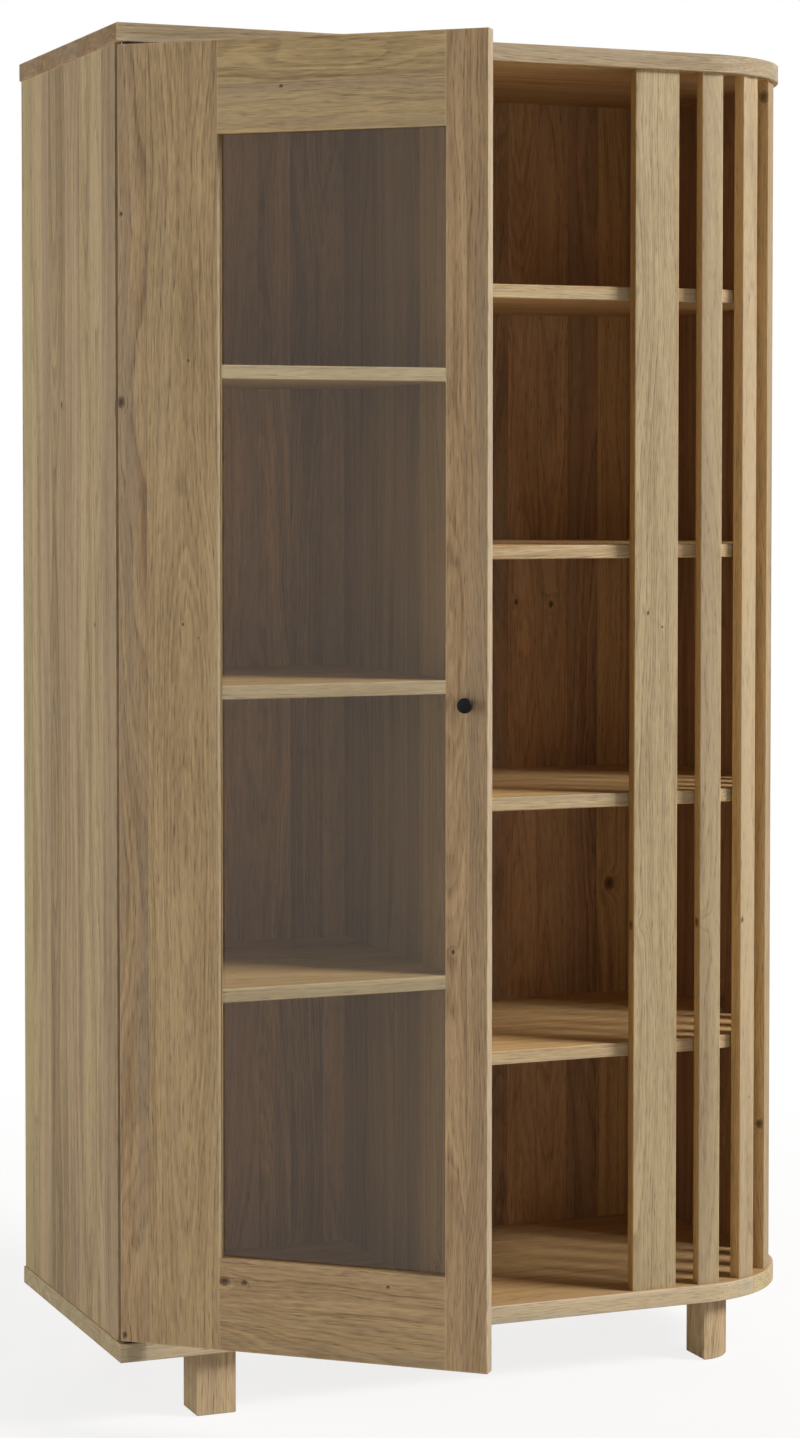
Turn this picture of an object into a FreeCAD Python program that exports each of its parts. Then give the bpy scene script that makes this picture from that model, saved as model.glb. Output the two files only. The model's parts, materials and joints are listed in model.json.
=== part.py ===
import FreeCAD, Part
import math
import os
import Sketcher

# A free-standing oak bookcase on four short legs. The top and bottom panels have one
# rounded corner, at the front right. Behind the left half hangs a framed glass door on
# two pivot hinges; the right half is open beside a screen of upright slats that turn
# round the rounded corner. Millimetres, +Z up. The origin lies on the floor under the
# centre of the panels, the front faces -Y and the door stands ajar by open_angle.

V = FreeCAD.Vector
doc = FreeCAD.newDocument("Bookcase")

# --- driving dimensions -----------------------------------------------------------

SIZES = [
    ("width", 1000, "top panel, left to right"),
    ("depth", 450, "top panel, front to back"),
    ("overall_height", 1770, "floor to top"),
    ("corner_radius", 170, "rounded corner of both panels, in plan"),
    ("panel_thick", 24, "top and bottom panels"),
    ("side_thick", 24, "side panels and divider"),
    ("side_inset", 2.5, "side panels in from the ends of the panels"),
    ("back_thick", 12, "back panel"),
    ("back_recess", 6, "back panel in from the rear edges"),
    ("groove_depth", 6, "groove that holds the back panel"),
    ("joint_play", 0.1, "pieces in their housings and holes, each side"),
    ("panel_bevel", 1, "bevel along the edges of the panels"),
    ("arris", 1, "small bevel on boards, slats and legs"),
    ("door_left", 4.5, "hinge edge in from the left end of the panels"),
    ("door_width", 484, "door, hinge edge to closing edge"),
    ("door_thick", 18, "door frame"),
    ("door_gap", 2, "closed door to the edges behind it"),
    ("door_end_gap", 3.5, "door to the panels above and below"),
    ("door_lap", 18, "closed door over the edge of the divider"),
    ("open_angle", 40.5, "how far the door stands open, in degrees"),
    ("hinge_stile_width", 134, "stile on the hinge side"),
    ("handle_stile_width", 54, "stile that carries the knob"),
    ("rail_width", 115, "top and bottom rails"),
    ("lip_thick", 8, "wood in front of the glass"),
    ("rebate_width", 8, "rebate for glass and beads"),
    ("glass_thick", 4, "glass"),
    ("glass_play", 1, "glass edge to the rebate, each side"),
    ("bead_bevel", 2.5, "bevel on the glazing beads"),
    ("pivot_edge", 6, "hinge axis from the hinge edge"),
    ("pivot_front", 6, "hinge axis from the front of the door"),
    ("pivot_diameter", 4, "pivot pin"),
    ("pivot_play", 0.05, "pivot pin in the door's plate, radial"),
    ("pivot_stub", 8, "pivot pin on each side of its collar"),
    ("collar_diameter", 7, "collar of the pivot pin"),
    ("plate_length", 44, "pivot hinge plates"),
    ("plate_width", 7.4, "pivot hinge plates"),
    ("plate_thick", 3, "pivot hinge plates"),
    ("knob_diameter", 18.5, "head of the knob"),
    ("knob_length", 12, "knob from the face of the door"),
    ("knob_neck", 10, "neck of the knob"),
    ("knob_head_thick", 6.5, "head of the knob"),
    ("knob_screw", 4, "screw through the stile into the knob"),
    ("knob_screw_head", 7.5, "head of that screw"),
    ("knob_screw_head_thick", 2.4, "head of that screw"),
    ("knob_screw_reach", 7, "thread inside the knob"),
    ("knob_edge", 0.8, "bevel of the knob's head"),
    ("magnet_diameter", 8, "magnet in the edge of the divider"),
    ("magnet_length", 12, "magnet in the edge of the divider"),
    ("magnet_proud", 1.5, "magnet in front of that edge"),
    ("magnet_drop", 90, "magnet below the top of the door"),
    ("strike_diameter", 12, "steel disc behind the closing stile"),
    ("strike_thick", 1.2, "steel disc behind the closing stile"),
    ("pad_size", 8, "felt pads between door and divider, square"),
    ("pad_thick", 1.7, "felt pads between door and divider"),
    ("pad_offset", 60, "middle of the felt pads from the ends of the door"),
    ("shelf_thick", 18, "shelves"),
    ("shelf_setback", 24, "front of the shelves behind the panels' edge"),
    ("shelf_housing", 6, "shelf ends let into the sides and the divider"),
    ("shelf_stop", 10, "housings in the right side start behind its front edge"),
    ("left_shelf_low", 439, "top of the lowest left shelf over the bottom panel"),
    ("left_shelf_middle", 828, "top of the middle left shelf"),
    ("left_shelf_high", 1237, "top of the highest left shelf"),
    ("right_shelf_first", 334, "top of the lowest right shelf"),
    ("right_shelf_second", 671, "top of the second right shelf"),
    ("right_shelf_third", 1004, "top of the third right shelf"),
    ("right_shelf_fourth", 1348, "top of the highest right shelf"),
    ("slat_inset", 6, "face of the slats behind the panels' edge"),
    ("slat_thick", 16, "slats"),
    ("slat_width", 32, "narrow slats"),
    ("wide_slat_width", 65, "the slat beside the open bay"),
    ("slat_gap", 34, "clear between the wide slat and the first narrow one"),
    ("slat_first_angle", 2, "first narrow slat round the corner, in degrees"),
    ("slat_step_angle", 24, "from one narrow slat to the next, in degrees"),
    ("slat_housing", 8, "slat ends let into the panels"),
    ("tenon_thick", 10, "loose tenons between panels and uprights"),
    ("tenon_width", 60, "loose tenons between panels and uprights"),
    ("tenon_length", 24, "loose tenons between panels and uprights"),
    ("tenon_inset", 70, "middle of a loose tenon from the edge of the board"),
    ("rail_tenon_thick", 6, "loose tenons between rails and stiles"),
    ("rail_tenon_width", 60, "loose tenons between rails and stiles"),
    ("rail_tenon_length", 40, "loose tenons between rails and stiles"),
    ("hole_extra", 0.5, "blind holes deeper than what they take"),
    ("leg_height", 86, "floor to the bottom panel"),
    ("leg_size", 53, "legs, square"),
    ("leg_side_inset", 109, "legs from the ends of the panels"),
    ("leg_end_inset", 23, "legs from the front and rear edges"),
    ("leg_round", 50, "rounded corner of the front right leg"),
    ("bolt_diameter", 8, "bolt between leg and panel"),
    ("bolt_length", 40, "bolt between leg and panel"),
    ("bolt_rise", 18, "bolt inside the panel"),
    ("glide_size", 20, "glide under each leg, square"),
    ("glide_thick", 4, "glide under each leg"),
    ("glide_proud", 1, "glide below the leg"),
]
SLAT_COUNT = 4

sheet = doc.addObject("Spreadsheet::Sheet", "Dims")
for row, (name, value, note) in enumerate(SIZES, 1):
    sheet.set(f"A{row}", name)
    sheet.set(f"B{row}", str(value))
    sheet.setAlias(f"B{row}", name)
    sheet.set(f"C{row}", note)
doc.recompute()

# Places in the cabinet's frame, as expressions over the sheet.
LEFT = "(-Dims.width / 2)"
FRONT = "(-Dims.depth / 2)"
FLOOR_UNDER = "Dims.leg_height"
FLOOR = "(Dims.leg_height + Dims.panel_thick)"
CEILING = "(Dims.overall_height - Dims.panel_thick)"
INSIDE_HEIGHT = f"({CEILING} - {FLOOR})"
EDGE_SETBACK = "(Dims.door_thick + Dims.door_gap)"
BACK_FACE = "(Dims.depth - Dims.back_recess - Dims.back_thick)"
SIDE_LEFT = "Dims.side_inset"
SIDE_INNER = "(Dims.side_inset + Dims.side_thick)"
DIVIDER_LEFT = "(Dims.door_left + Dims.door_width - Dims.door_lap)"
DIVIDER_RIGHT = f"({DIVIDER_LEFT} + Dims.side_thick)"
RIGHT_INNER = "(Dims.width - Dims.side_inset - Dims.side_thick)"
ARC_X = "(Dims.width - Dims.corner_radius)"
DOOR_HEIGHT = f"({INSIDE_HEIGHT} - 2 * Dims.door_end_gap)"
DOOR_FOOT = f"({FLOOR} + Dims.door_end_gap)"
AXIS_X = "(Dims.door_left + Dims.pivot_edge)"
AXIS_Y = "Dims.pivot_front"


# --- drawing helpers --------------------------------------------------------------

def origin_plane(body, role):
    for feature in body.Origin.OriginFeatures:
        if feature.Role == role:
            return feature
    raise ValueError(role)


def new_sketch(body, name, role="XY_Plane", offset="0"):
    sketch = body.newObject("Sketcher::SketchObject", name)
    sketch.AttachmentSupport = (origin_plane(body, role), [""])
    sketch.MapMode = "FlatFace"
    sketch.setExpression("AttachmentOffset.Base.z", offset)
    return sketch


def read(expression):
    """The value of an expression over the sheet."""
    return float(sheet.evalExpression(expression))


def at(x, y):
    return V(read(x), read(y), 0)


def tie(sketch, kind, geometry, point, distance):
    """Set how far a point of the sketch lies from the sketch's origin, one way."""
    rule = Sketcher.Constraint(kind, -1, 1, geometry, point, read(distance))
    sketch.setExpression(f"Constraints[{sketch.addConstraint(rule)}]", distance)


def hold(sketch, geometry, point, x, y):
    tie(sketch, "DistanceX", geometry, point, x)
    tie(sketch, "DistanceY", geometry, point, y)


def draw_outline(sketch, points, arcs=None):
    """A closed outline through points. A side numbered in arcs is round, given by its
    centre, radius, two angles in radians and the ends where the outline meets it."""
    arcs = arcs or {}
    sides = []
    for i, start in enumerate(points):
        if i in arcs:
            (x, y), radius, first, last, ends = arcs[i]
            circle = Part.Circle(at(x, y), V(0, 0, 1), read(radius))
            index = sketch.addGeometry(Part.ArcOfCircle(circle, first, last), False)
            sides.append((index, *ends))
            tie(sketch, "DistanceX", index, 3, x)
        else:
            line = Part.LineSegment(at(*start), at(*points[(i + 1) % len(points)]))
            sides.append((sketch.addGeometry(line, False), 1, 2))
    for i, (side, _, end) in enumerate(sides):
        following, start, _ = sides[(i + 1) % len(sides)]
        join = Sketcher.Constraint("Coincident", side, end, following, start)
        sketch.addConstraint(join)
    for (side, start, _), (x, y) in zip(sides, points):
        hold(sketch, side, start, x, y)


def draw_rectangle(sketch, left, front, right, back):
    draw_outline(sketch, [(left, front), (right, front), (right, back), (left, back)])


def draw_circle(sketch, x, y, radius):
    circle = Part.Circle(at(x, y), V(0, 0, 1), read(radius))
    index = sketch.addGeometry(circle, False)
    rule = Sketcher.Constraint("Radius", index, read(radius))
    sketch.setExpression(f"Constraints[{sketch.addConstraint(rule)}]", radius)
    hold(sketch, index, 3, x, y)


def draw_panel(sketch, right, back, radius):
    """A rectangle from the origin to right and back, its front right corner round."""
    arc_x = f"({right} - {radius})"
    draw_outline(sketch, [("0", "0"), (arc_x, "0"), (right, radius), (right, back),
                          ("0", back)],
                 {1: ((arc_x, radius), radius, -math.pi / 2, 0, (1, 2))})


def draw_corner_waste(sketch, x, y, radius):
    """What is cut away outside a quarter turn about x, y at the front right."""
    outer = f"({x} + 2 * {radius})"
    before = f"({y} - 2 * {radius})"
    draw_outline(sketch, [(x, before), (outer, before), (outer, y), (f"({x} + {radius})", y),
                          (x, f"({y} - {radius})")],
                 {3: ((x, y), radius, -math.pi / 2, 0, (2, 1))})


# --- solid helpers ----------------------------------------------------------------

def new_body(label):
    body = doc.addObject("PartDesign::Body", label)
    body.Label = label
    return body


def pad(body, sketch, length):
    feature = body.newObject("PartDesign::Pad", sketch.Name + "_pad")
    feature.Profile = sketch
    feature.setExpression("Length", length)
    body.Tip = feature


def pocket(body, sketch, depth, upward=False):
    """Cut from the sketch's plane: against its normal, or along it when upward."""
    doc.recompute()
    before = body.Shape.Volume
    feature = body.newObject("PartDesign::Pocket", sketch.Name + "_pocket")
    feature.Profile = sketch
    feature.Reversed = upward
    feature.setExpression("Length", depth)
    body.Tip = feature
    doc.recompute()
    if body.Shape.Volume > before - 0.1:
        raise ValueError(f"{sketch.Name} cuts nothing from {body.Label}")


def revolve(body, sketch):
    """A full turn about the sketch's upright axis."""
    feature = body.newObject("PartDesign::Revolution", sketch.Name + "_turn")
    feature.Profile = sketch
    feature.ReferenceAxis = (sketch, ["V_Axis"])
    feature.Angle = 360
    body.Tip = feature


def ease(body, size, test):
    """Bevel the edges that pass the test."""
    doc.recompute()
    base = body.Tip
    names = [f"Edge{i}" for i, edge in enumerate(base.Shape.Edges, 1) if test(edge)]
    feature = body.newObject("PartDesign::Chamfer", body.Name + "_bevel")
    feature.Base = (base, names)
    feature.setExpression("Size", size)
    body.Tip = feature


def upright(edge):
    a, b = (vertex.Point for vertex in (edge.Vertexes[0], edge.Vertexes[-1]))
    return abs(a.x - b.x) < 0.01 and abs(a.y - b.y) < 0.01 and abs(a.z - b.z) > 5


def level_at(z):
    def test(edge):
        return all(abs(vertex.Z - z) < 0.01 for vertex in edge.Vertexes)
    return test


def place(item, x, y, z, turn=None):
    """Put an item at x and y from the panels' front left corner and z from the floor."""
    if turn is not None:
        item.Placement = FreeCAD.Placement(V(0, 0, 0), FreeCAD.Rotation(V(0, 0, 1), 10))
        item.setExpression("Placement.Rotation.Angle", turn)
    item.setExpression("Placement.Base.x", f"{LEFT} + {x}")
    item.setExpression("Placement.Base.y", f"{FRONT} + {y}")
    item.setExpression("Placement.Base.z", z)


def place_on_door(item, x, y, z):
    """Put an item at x, y, z from the closed door's front left foot, door turned open."""
    along = f"({x} - Dims.pivot_edge)"
    across = f"({y} - Dims.pivot_front)"
    cosine = "cos(Dims.open_angle * 1 deg)"
    sine = "sin(Dims.open_angle * 1 deg)"
    place(item,
          f"{AXIS_X} + {along} * {cosine} + {across} * {sine}",
          f"{AXIS_Y} - {along} * {sine} + {across} * {cosine}",
          f"{DOOR_FOOT} + {z}",
          turn="-Dims.open_angle * 1 deg")


def board(label, length, breadth, height):
    """A plain board from its own corner: length along X, breadth along Y, height up."""
    body = new_body(label)
    outline = new_sketch(body, label + "_outline")
    draw_rectangle(outline, "0", "0", length, breadth)
    pad(body, outline, height)
    return body


def bore(body, name, role, offset, spots, radius, depth, upward=False):
    """Round holes at the spots, all of one radius and depth."""
    sketch = new_sketch(body, f"{body.Name}_{name}", role, offset)
    for x, y in spots:
        draw_circle(sketch, x, y, radius)
    pocket(body, sketch, depth, upward)


def rod(name, radius, length, x, y, z, axis="Z"):
    """One round bar, its foot at x, y, z, upright or lying along +Y."""
    item = doc.addObject("Part::Cylinder", name)
    item.setExpression("Radius", radius)
    item.setExpression("Height", length)
    if axis == "Y":
        item.Placement = FreeCAD.Placement(V(0, 0, 0), FreeCAD.Rotation(V(1, 0, 0), -90))
    item.setExpression("Placement.Base.x", x)
    item.setExpression("Placement.Base.y", y)
    item.setExpression("Placement.Base.z", z)
    return item


def group(label, items):
    bundle = doc.addObject("Part::Compound", label)
    bundle.Label = label
    bundle.Links = items
    return bundle


# --- shared places of joints --------------------------------------------------------

GROOVE_FRONT = f"({BACK_FACE} - Dims.joint_play)"
GROOVE_BACK = "(Dims.depth - Dims.back_recess + Dims.joint_play)"
SIDE_CENTRE = "Dims.side_thick / 2"


def around(x, y, length, breadth):
    """Left, front, right and back of a bed for a block of that size, with its play."""
    half_length = f"({length} / 2 + Dims.joint_play)"
    half_breadth = f"({breadth} / 2 + Dims.joint_play)"
    return (f"({x} - {half_length})", f"({y} - {half_breadth})",
            f"({x} + {half_length})", f"({y} + {half_breadth})")


def tenon_pair(x, front):
    """Middles of two loose tenons along an upright board that starts at front."""
    return [(f"({x} + {SIDE_CENTRE})", f"({front} + Dims.tenon_inset)"),
            (f"({x} + {SIDE_CENTRE})", f"({BACK_FACE} - Dims.tenon_inset)")]


side_tenons = tenon_pair(SIDE_LEFT, EDGE_SETBACK)
divider_tenons = tenon_pair(DIVIDER_LEFT, EDGE_SETBACK)
right_tenons = tenon_pair(RIGHT_INNER, "Dims.corner_radius")
TENON_BED = "(Dims.tenon_length / 2 + Dims.hole_extra)"


def slat_angle(index):
    return f"((Dims.slat_first_angle + {index} * Dims.slat_step_angle) * 1 deg)"


def on_arc(radius, angle):
    """A point round the centre of the rounded corner, angle 0 facing the front."""
    x = f"({ARC_X} + {radius} * sin({angle}))"
    y = f"(Dims.corner_radius - {radius} * cos({angle}))"
    return x, y


SLAT_FACE = "(Dims.corner_radius - Dims.slat_inset)"
FIRST_SLAT_LEFT = (f"({on_arc(SLAT_FACE, slat_angle(0))[0]}"
                   f" - Dims.slat_width / 2 * cos({slat_angle(0)}))")
WIDE_SLAT_LEFT = f"({FIRST_SLAT_LEFT} - Dims.slat_gap - Dims.wide_slat_width)"


def slat_bed(angle):
    """Corners of the housing round a corner slat, turned with it."""
    centre_x, centre_y = on_arc(f"({SLAT_FACE} - Dims.slat_thick / 2)", angle)
    along = "(Dims.slat_width / 2 + Dims.joint_play)"
    across = "(Dims.slat_thick / 2 + Dims.joint_play)"
    corners = []
    for side, face in (("-", "-"), ("+", "-"), ("+", "+"), ("-", "+")):
        x = f"({centre_x} {side} {along} * cos({angle}) - (0 {face} {across}) * sin({angle}))"
        y = f"({centre_y} {side} {along} * sin({angle}) + (0 {face} {across}) * cos({angle}))"
        corners.append((x, y))
    return corners


LEG_NEAR = "Dims.leg_side_inset"
LEG_FAR = "(Dims.width - Dims.leg_side_inset - Dims.leg_size)"
LEG_FRONT = "Dims.leg_end_inset"
LEG_REAR = "(Dims.depth - Dims.leg_end_inset - Dims.leg_size)"
LEGS = [("front_left", LEG_NEAR, LEG_FRONT), ("front_right", LEG_FAR, LEG_FRONT),
        ("rear_left", LEG_NEAR, LEG_REAR), ("rear_right", LEG_FAR, LEG_REAR)]
leg_centres = [(f"({x} + Dims.leg_size / 2)", f"({y} + Dims.leg_size / 2)")
               for _, x, y in LEGS]
BOLT_HOLE = "(Dims.bolt_diameter / 2 + Dims.joint_play)"

PLATE_MIDDLE = "((Dims.plate_length - Dims.plate_width) / 2)"
PIN_HOLE = "(Dims.pivot_diameter / 2 + Dims.pivot_play)"
COLLAR_THICK = "(Dims.door_end_gap - Dims.joint_play)"


def plate_bed(body, name, offset, x, y, upward):
    """A bed for a pivot plate, with the deeper hole for its pin at x, y."""
    bed = new_sketch(body, f"{body.Name}_{name}_bed", "XY_Plane", offset)
    draw_rectangle(bed, *around(f"({x} + {PLATE_MIDDLE})", y, "Dims.plate_length",
                                "Dims.plate_width"))
    pocket(body, bed, "Dims.plate_thick", upward)
    bore(body, f"{name}_pin", "XY_Plane", offset, [(x, y)],
         "(Dims.pivot_diameter / 2 + Dims.joint_play)",
         "(Dims.pivot_stub + Dims.hole_extra)", upward)


# --- top and bottom panels ----------------------------------------------------------
# Solid glued panels; the front edge runs straight, then turns the corner to the side.
# Their inner faces take the tenons, the back panel, the slats and the pivot plates.

parts = []


def panel(label, height, inner_offset, upward):
    body = new_body(label)
    outline = new_sketch(body, label + "_outline")
    draw_panel(outline, "Dims.width", "Dims.depth", "Dims.corner_radius")
    pad(body, outline, "Dims.panel_thick")
    low_edge = level_at(0)
    high_edge = level_at(read("Dims.panel_thick"))
    ease(body, "Dims.panel_bevel", lambda edge: low_edge(edge) or high_edge(edge))
    beds = new_sketch(body, label + "_tenon_beds", "XY_Plane", inner_offset)
    for x, y in side_tenons + divider_tenons + right_tenons:
        draw_rectangle(beds, *around(x, y, "Dims.tenon_thick", "Dims.tenon_width"))
    pocket(body, beds, TENON_BED, upward)
    housings = new_sketch(body, label + "_slat_housings", "XY_Plane", inner_offset)
    draw_rectangle(housings, *around(f"({WIDE_SLAT_LEFT} + Dims.wide_slat_width / 2)",
                                     "(Dims.slat_inset + Dims.slat_thick / 2)",
                                     "Dims.wide_slat_width", "Dims.slat_thick"))
    for i in range(SLAT_COUNT):
        draw_outline(housings, slat_bed(slat_angle(i)))
    pocket(body, housings, "Dims.slat_housing", upward)
    groove = new_sketch(body, label + "_groove", "XY_Plane", inner_offset)
    draw_rectangle(groove, f"({SIDE_INNER} - Dims.groove_depth)", GROOVE_FRONT,
                   f"({RIGHT_INNER} + Dims.groove_depth)", GROOVE_BACK)
    pocket(body, groove, "Dims.groove_depth", upward)
    plate_bed(body, "hinge", inner_offset, AXIS_X, AXIS_Y, upward)
    place(body, "0", "0", height)
    parts.append(body)
    return body


bottom_panel = panel("bottom_panel", FLOOR_UNDER, "Dims.panel_thick", upward=False)
bore(bottom_panel, "bolt_holes", "XY_Plane", "0", leg_centres, BOLT_HOLE,
     "(Dims.bolt_rise + Dims.hole_extra)", upward=True)
panel("top_panel", CEILING, "0", upward=True)


# --- side panels, divider and back ----------------------------------------------------

LEFT_SHELVES = ["Dims.left_shelf_low", "Dims.left_shelf_middle", "Dims.left_shelf_high"]
RIGHT_SHELVES = ["Dims.right_shelf_first", "Dims.right_shelf_second",
                 "Dims.right_shelf_third", "Dims.right_shelf_fourth"]
STOPPED_FRONT = "(Dims.corner_radius + Dims.shelf_stop)"


def upright_board(label, x, front, back, tenons):
    """A board between the two panels, with beds for loose tenons in both ends."""
    body = board(label, "Dims.side_thick", f"({back} - {front})", INSIDE_HEIGHT)
    ease(body, "Dims.arris", upright)
    for end, offset, upward in (("foot", "0", True), ("head", INSIDE_HEIGHT, False)):
        beds = new_sketch(body, f"{label}_{end}_beds", "XY_Plane", offset)
        for across, along in tenons:
            draw_rectangle(beds, *around(f"({across} - {x})", f"({along} - {front})",
                                         "Dims.tenon_thick", "Dims.tenon_width"))
        pocket(body, beds, TENON_BED, upward)
    place(body, x, front, FLOOR)
    parts.append(body)
    return body


def back_groove(body, left, right, front):
    groove = new_sketch(body, body.Name + "_groove")
    draw_rectangle(groove, left, f"({GROOVE_FRONT} - {front})", right,
                   f"({GROOVE_BACK} - {front})")
    pocket(body, groove, INSIDE_HEIGHT, upward=True)


def shelf_housings(body, name, offset, front, shelf_front, shelves, upward):
    """Stopped housings across a board's face, open towards the back panel."""
    sketch = new_sketch(body, f"{body.Name}_{name}", "YZ_Plane", offset)
    for top in shelves:
        draw_rectangle(sketch, f"({shelf_front} - Dims.joint_play - {front})",
                       f"({top} - Dims.shelf_thick)", f"({BACK_FACE} - {front})",
                       f"({top} + Dims.joint_play)")
    pocket(body, sketch, "(Dims.shelf_housing + Dims.joint_play)", upward)


left_side = upright_board("left_side", SIDE_LEFT, EDGE_SETBACK, "Dims.depth", side_tenons)
back_groove(left_side, "(Dims.side_thick - Dims.groove_depth)", "Dims.side_thick", EDGE_SETBACK)
shelf_housings(left_side, "housings", "Dims.side_thick", EDGE_SETBACK, "Dims.shelf_setback",
               LEFT_SHELVES, upward=False)

divider = upright_board("divider", DIVIDER_LEFT, EDGE_SETBACK, BACK_FACE, divider_tenons)
shelf_housings(divider, "left_housings", "0", EDGE_SETBACK, "Dims.shelf_setback",
               LEFT_SHELVES, upward=True)
shelf_housings(divider, "right_housings", "Dims.side_thick", EDGE_SETBACK,
               "Dims.shelf_setback", RIGHT_SHELVES, upward=False)
CATCH_X = "(Dims.door_lap / 2)"
CATCH_Z = f"({DOOR_FOOT} + {DOOR_HEIGHT} - Dims.magnet_drop)"
bore(divider, "magnet_hole", "XZ_Plane", "0", [(CATCH_X, f"({CATCH_Z} - {FLOOR})")],
     "(Dims.magnet_diameter / 2 + Dims.joint_play)",
     "(Dims.magnet_length - Dims.magnet_proud)")

right_side = upright_board("right_side", RIGHT_INNER, "Dims.corner_radius", "Dims.depth",
                           right_tenons)
back_groove(right_side, "0", "Dims.groove_depth", "Dims.corner_radius")
shelf_housings(right_side, "housings", "0", "Dims.corner_radius", STOPPED_FRONT,
               RIGHT_SHELVES, upward=True)

TONGUE = "(Dims.groove_depth - Dims.joint_play)"
back_panel = board("back_panel", f"({RIGHT_INNER} - {SIDE_INNER} + 2 * {TONGUE})",
                   "Dims.back_thick", f"({INSIDE_HEIGHT} + 2 * {TONGUE})")
place(back_panel, f"({SIDE_INNER} - {TONGUE})", BACK_FACE, f"({FLOOR} - {TONGUE})")
parts.append(back_panel)

tenon_blocks = []
for end in (FLOOR, CEILING):
    for x, y in side_tenons + divider_tenons + right_tenons:
        block = doc.addObject("Part::Box", f"tenon_{len(tenon_blocks)}")
        block.setExpression("Length", "Dims.tenon_thick")
        block.setExpression("Width", "Dims.tenon_width")
        block.setExpression("Height", "Dims.tenon_length")
        place(block, f"{x} - Dims.tenon_thick / 2", f"{y} - Dims.tenon_width / 2",
              f"{end} - Dims.tenon_length / 2")
        tenon_blocks.append(block)
parts.append(group("loose_tenons", tenon_blocks))


# --- shelves --------------------------------------------------------------------------
# Boards let into the uprights at both ends. The right shelves follow the rounded corner
# behind the slats, and their ends are notched to hide the housings in the right side.

def shelf(label, left, right, top, rounded):
    x = f"({left} - Dims.shelf_housing)"
    body = board(label, f"({right} + Dims.shelf_housing - {x})",
                 f"({BACK_FACE} - Dims.shelf_setback)", "Dims.shelf_thick")
    round_radius = "(Dims.corner_radius - Dims.shelf_setback)"
    if rounded:
        waste = new_sketch(body, label + "_waste")
        draw_corner_waste(waste, f"({ARC_X} - {x})", round_radius, round_radius)
        pocket(body, waste, "Dims.shelf_thick", upward=True)
        notch = new_sketch(body, label + "_notch")
        draw_rectangle(notch, f"({right} - Dims.joint_play - {x})", "0",
                       f"({right} + 2 * Dims.shelf_housing - {x})",
                       f"({STOPPED_FRONT} - Dims.shelf_setback)")
        pocket(body, notch, "Dims.shelf_thick", upward=True)
    reach = read(round_radius)
    ease(body, "Dims.arris",
         lambda edge: edge.CenterOfMass.y < reach and not upright(edge))
    place(body, x, "Dims.shelf_setback", f"({FLOOR} + {top} - Dims.shelf_thick)")
    parts.append(body)


for number, top in enumerate(LEFT_SHELVES, 1):
    shelf(f"left_shelf_{number}", SIDE_INNER, DIVIDER_LEFT, top, rounded=False)
for number, top in enumerate(RIGHT_SHELVES, 1):
    shelf(f"right_shelf_{number}", DIVIDER_RIGHT, RIGHT_INNER, top, rounded=True)


# --- slat screen ------------------------------------------------------------------------
# A wide slat stands on the straight front; the narrow ones turn round the corner, each
# facing outwards from its centre. Both ends of every slat are let into the panels.

def slat(label, width, x, y, turn=None):
    body = board(label, width, "Dims.slat_thick",
                 f"({INSIDE_HEIGHT} + 2 * Dims.slat_housing)")
    ease(body, "Dims.arris", upright)
    place(body, x, y, f"{FLOOR} - Dims.slat_housing", turn)
    parts.append(body)


slat("wide_slat", "Dims.wide_slat_width", WIDE_SLAT_LEFT, "Dims.slat_inset")
for i in range(SLAT_COUNT):
    angle = slat_angle(i)
    face_x, face_y = on_arc(SLAT_FACE, angle)
    slat(f"corner_slat_{i + 1}", "Dims.slat_width",
         f"{face_x} - Dims.slat_width / 2 * cos({angle})",
         f"{face_y} - Dims.slat_width / 2 * sin({angle})", angle)


# --- legs with their bolts and glides -----------------------------------------------------
# Square legs; the front right one is rounded on its outer corner like the panels above it.

LEG_LENGTH = "(Dims.leg_height - Dims.glide_proud)"
bolts = []
for (name, x, y), (centre_x, centre_y) in zip(LEGS, leg_centres):
    leg = new_body(f"{name}_leg")
    outline = new_sketch(leg, f"{name}_leg_outline")
    if name == "front_right":
        draw_panel(outline, "Dims.leg_size", "Dims.leg_size", "Dims.leg_round")
    else:
        draw_rectangle(outline, "0", "0", "Dims.leg_size", "Dims.leg_size")
    pad(leg, outline, LEG_LENGTH)
    ease(leg, "Dims.arris", level_at(0))
    middle = "(Dims.leg_size / 2)"
    bore(leg, "bolt_hole", "XY_Plane", LEG_LENGTH, [(middle, middle)], BOLT_HOLE,
         "(Dims.bolt_length - Dims.bolt_rise + Dims.hole_extra)")
    seat = new_sketch(leg, f"{name}_leg_seat")
    draw_rectangle(seat, *around(middle, middle, "Dims.glide_size", "Dims.glide_size"))
    pocket(leg, seat, "(Dims.glide_thick - Dims.glide_proud)", upward=True)
    place(leg, x, y, "Dims.glide_proud")
    parts.append(leg)
    glide = board(f"{name}_glide", "Dims.glide_size", "Dims.glide_size", "Dims.glide_thick")
    place(glide, f"{centre_x} - Dims.glide_size / 2", f"{centre_y} - Dims.glide_size / 2", "0")
    parts.append(glide)
    bolts.append(rod(f"{name}_bolt", "Dims.bolt_diameter / 2", "Dims.bolt_length",
                     f"{LEFT} + {centre_x}", f"{FRONT} + {centre_y}",
                     f"{FLOOR_UNDER} - (Dims.bolt_length - Dims.bolt_rise)"))
parts.append(group("leg_bolts", bolts))


# --- pivot hinges -----------------------------------------------------------------------
# Each hinge is a pair of plates sunk flush into the panel and into the end of the stile,
# and one pin that stands in the panel's plate. The collar on the pin fills the gap and
# carries the door's plate.

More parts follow.
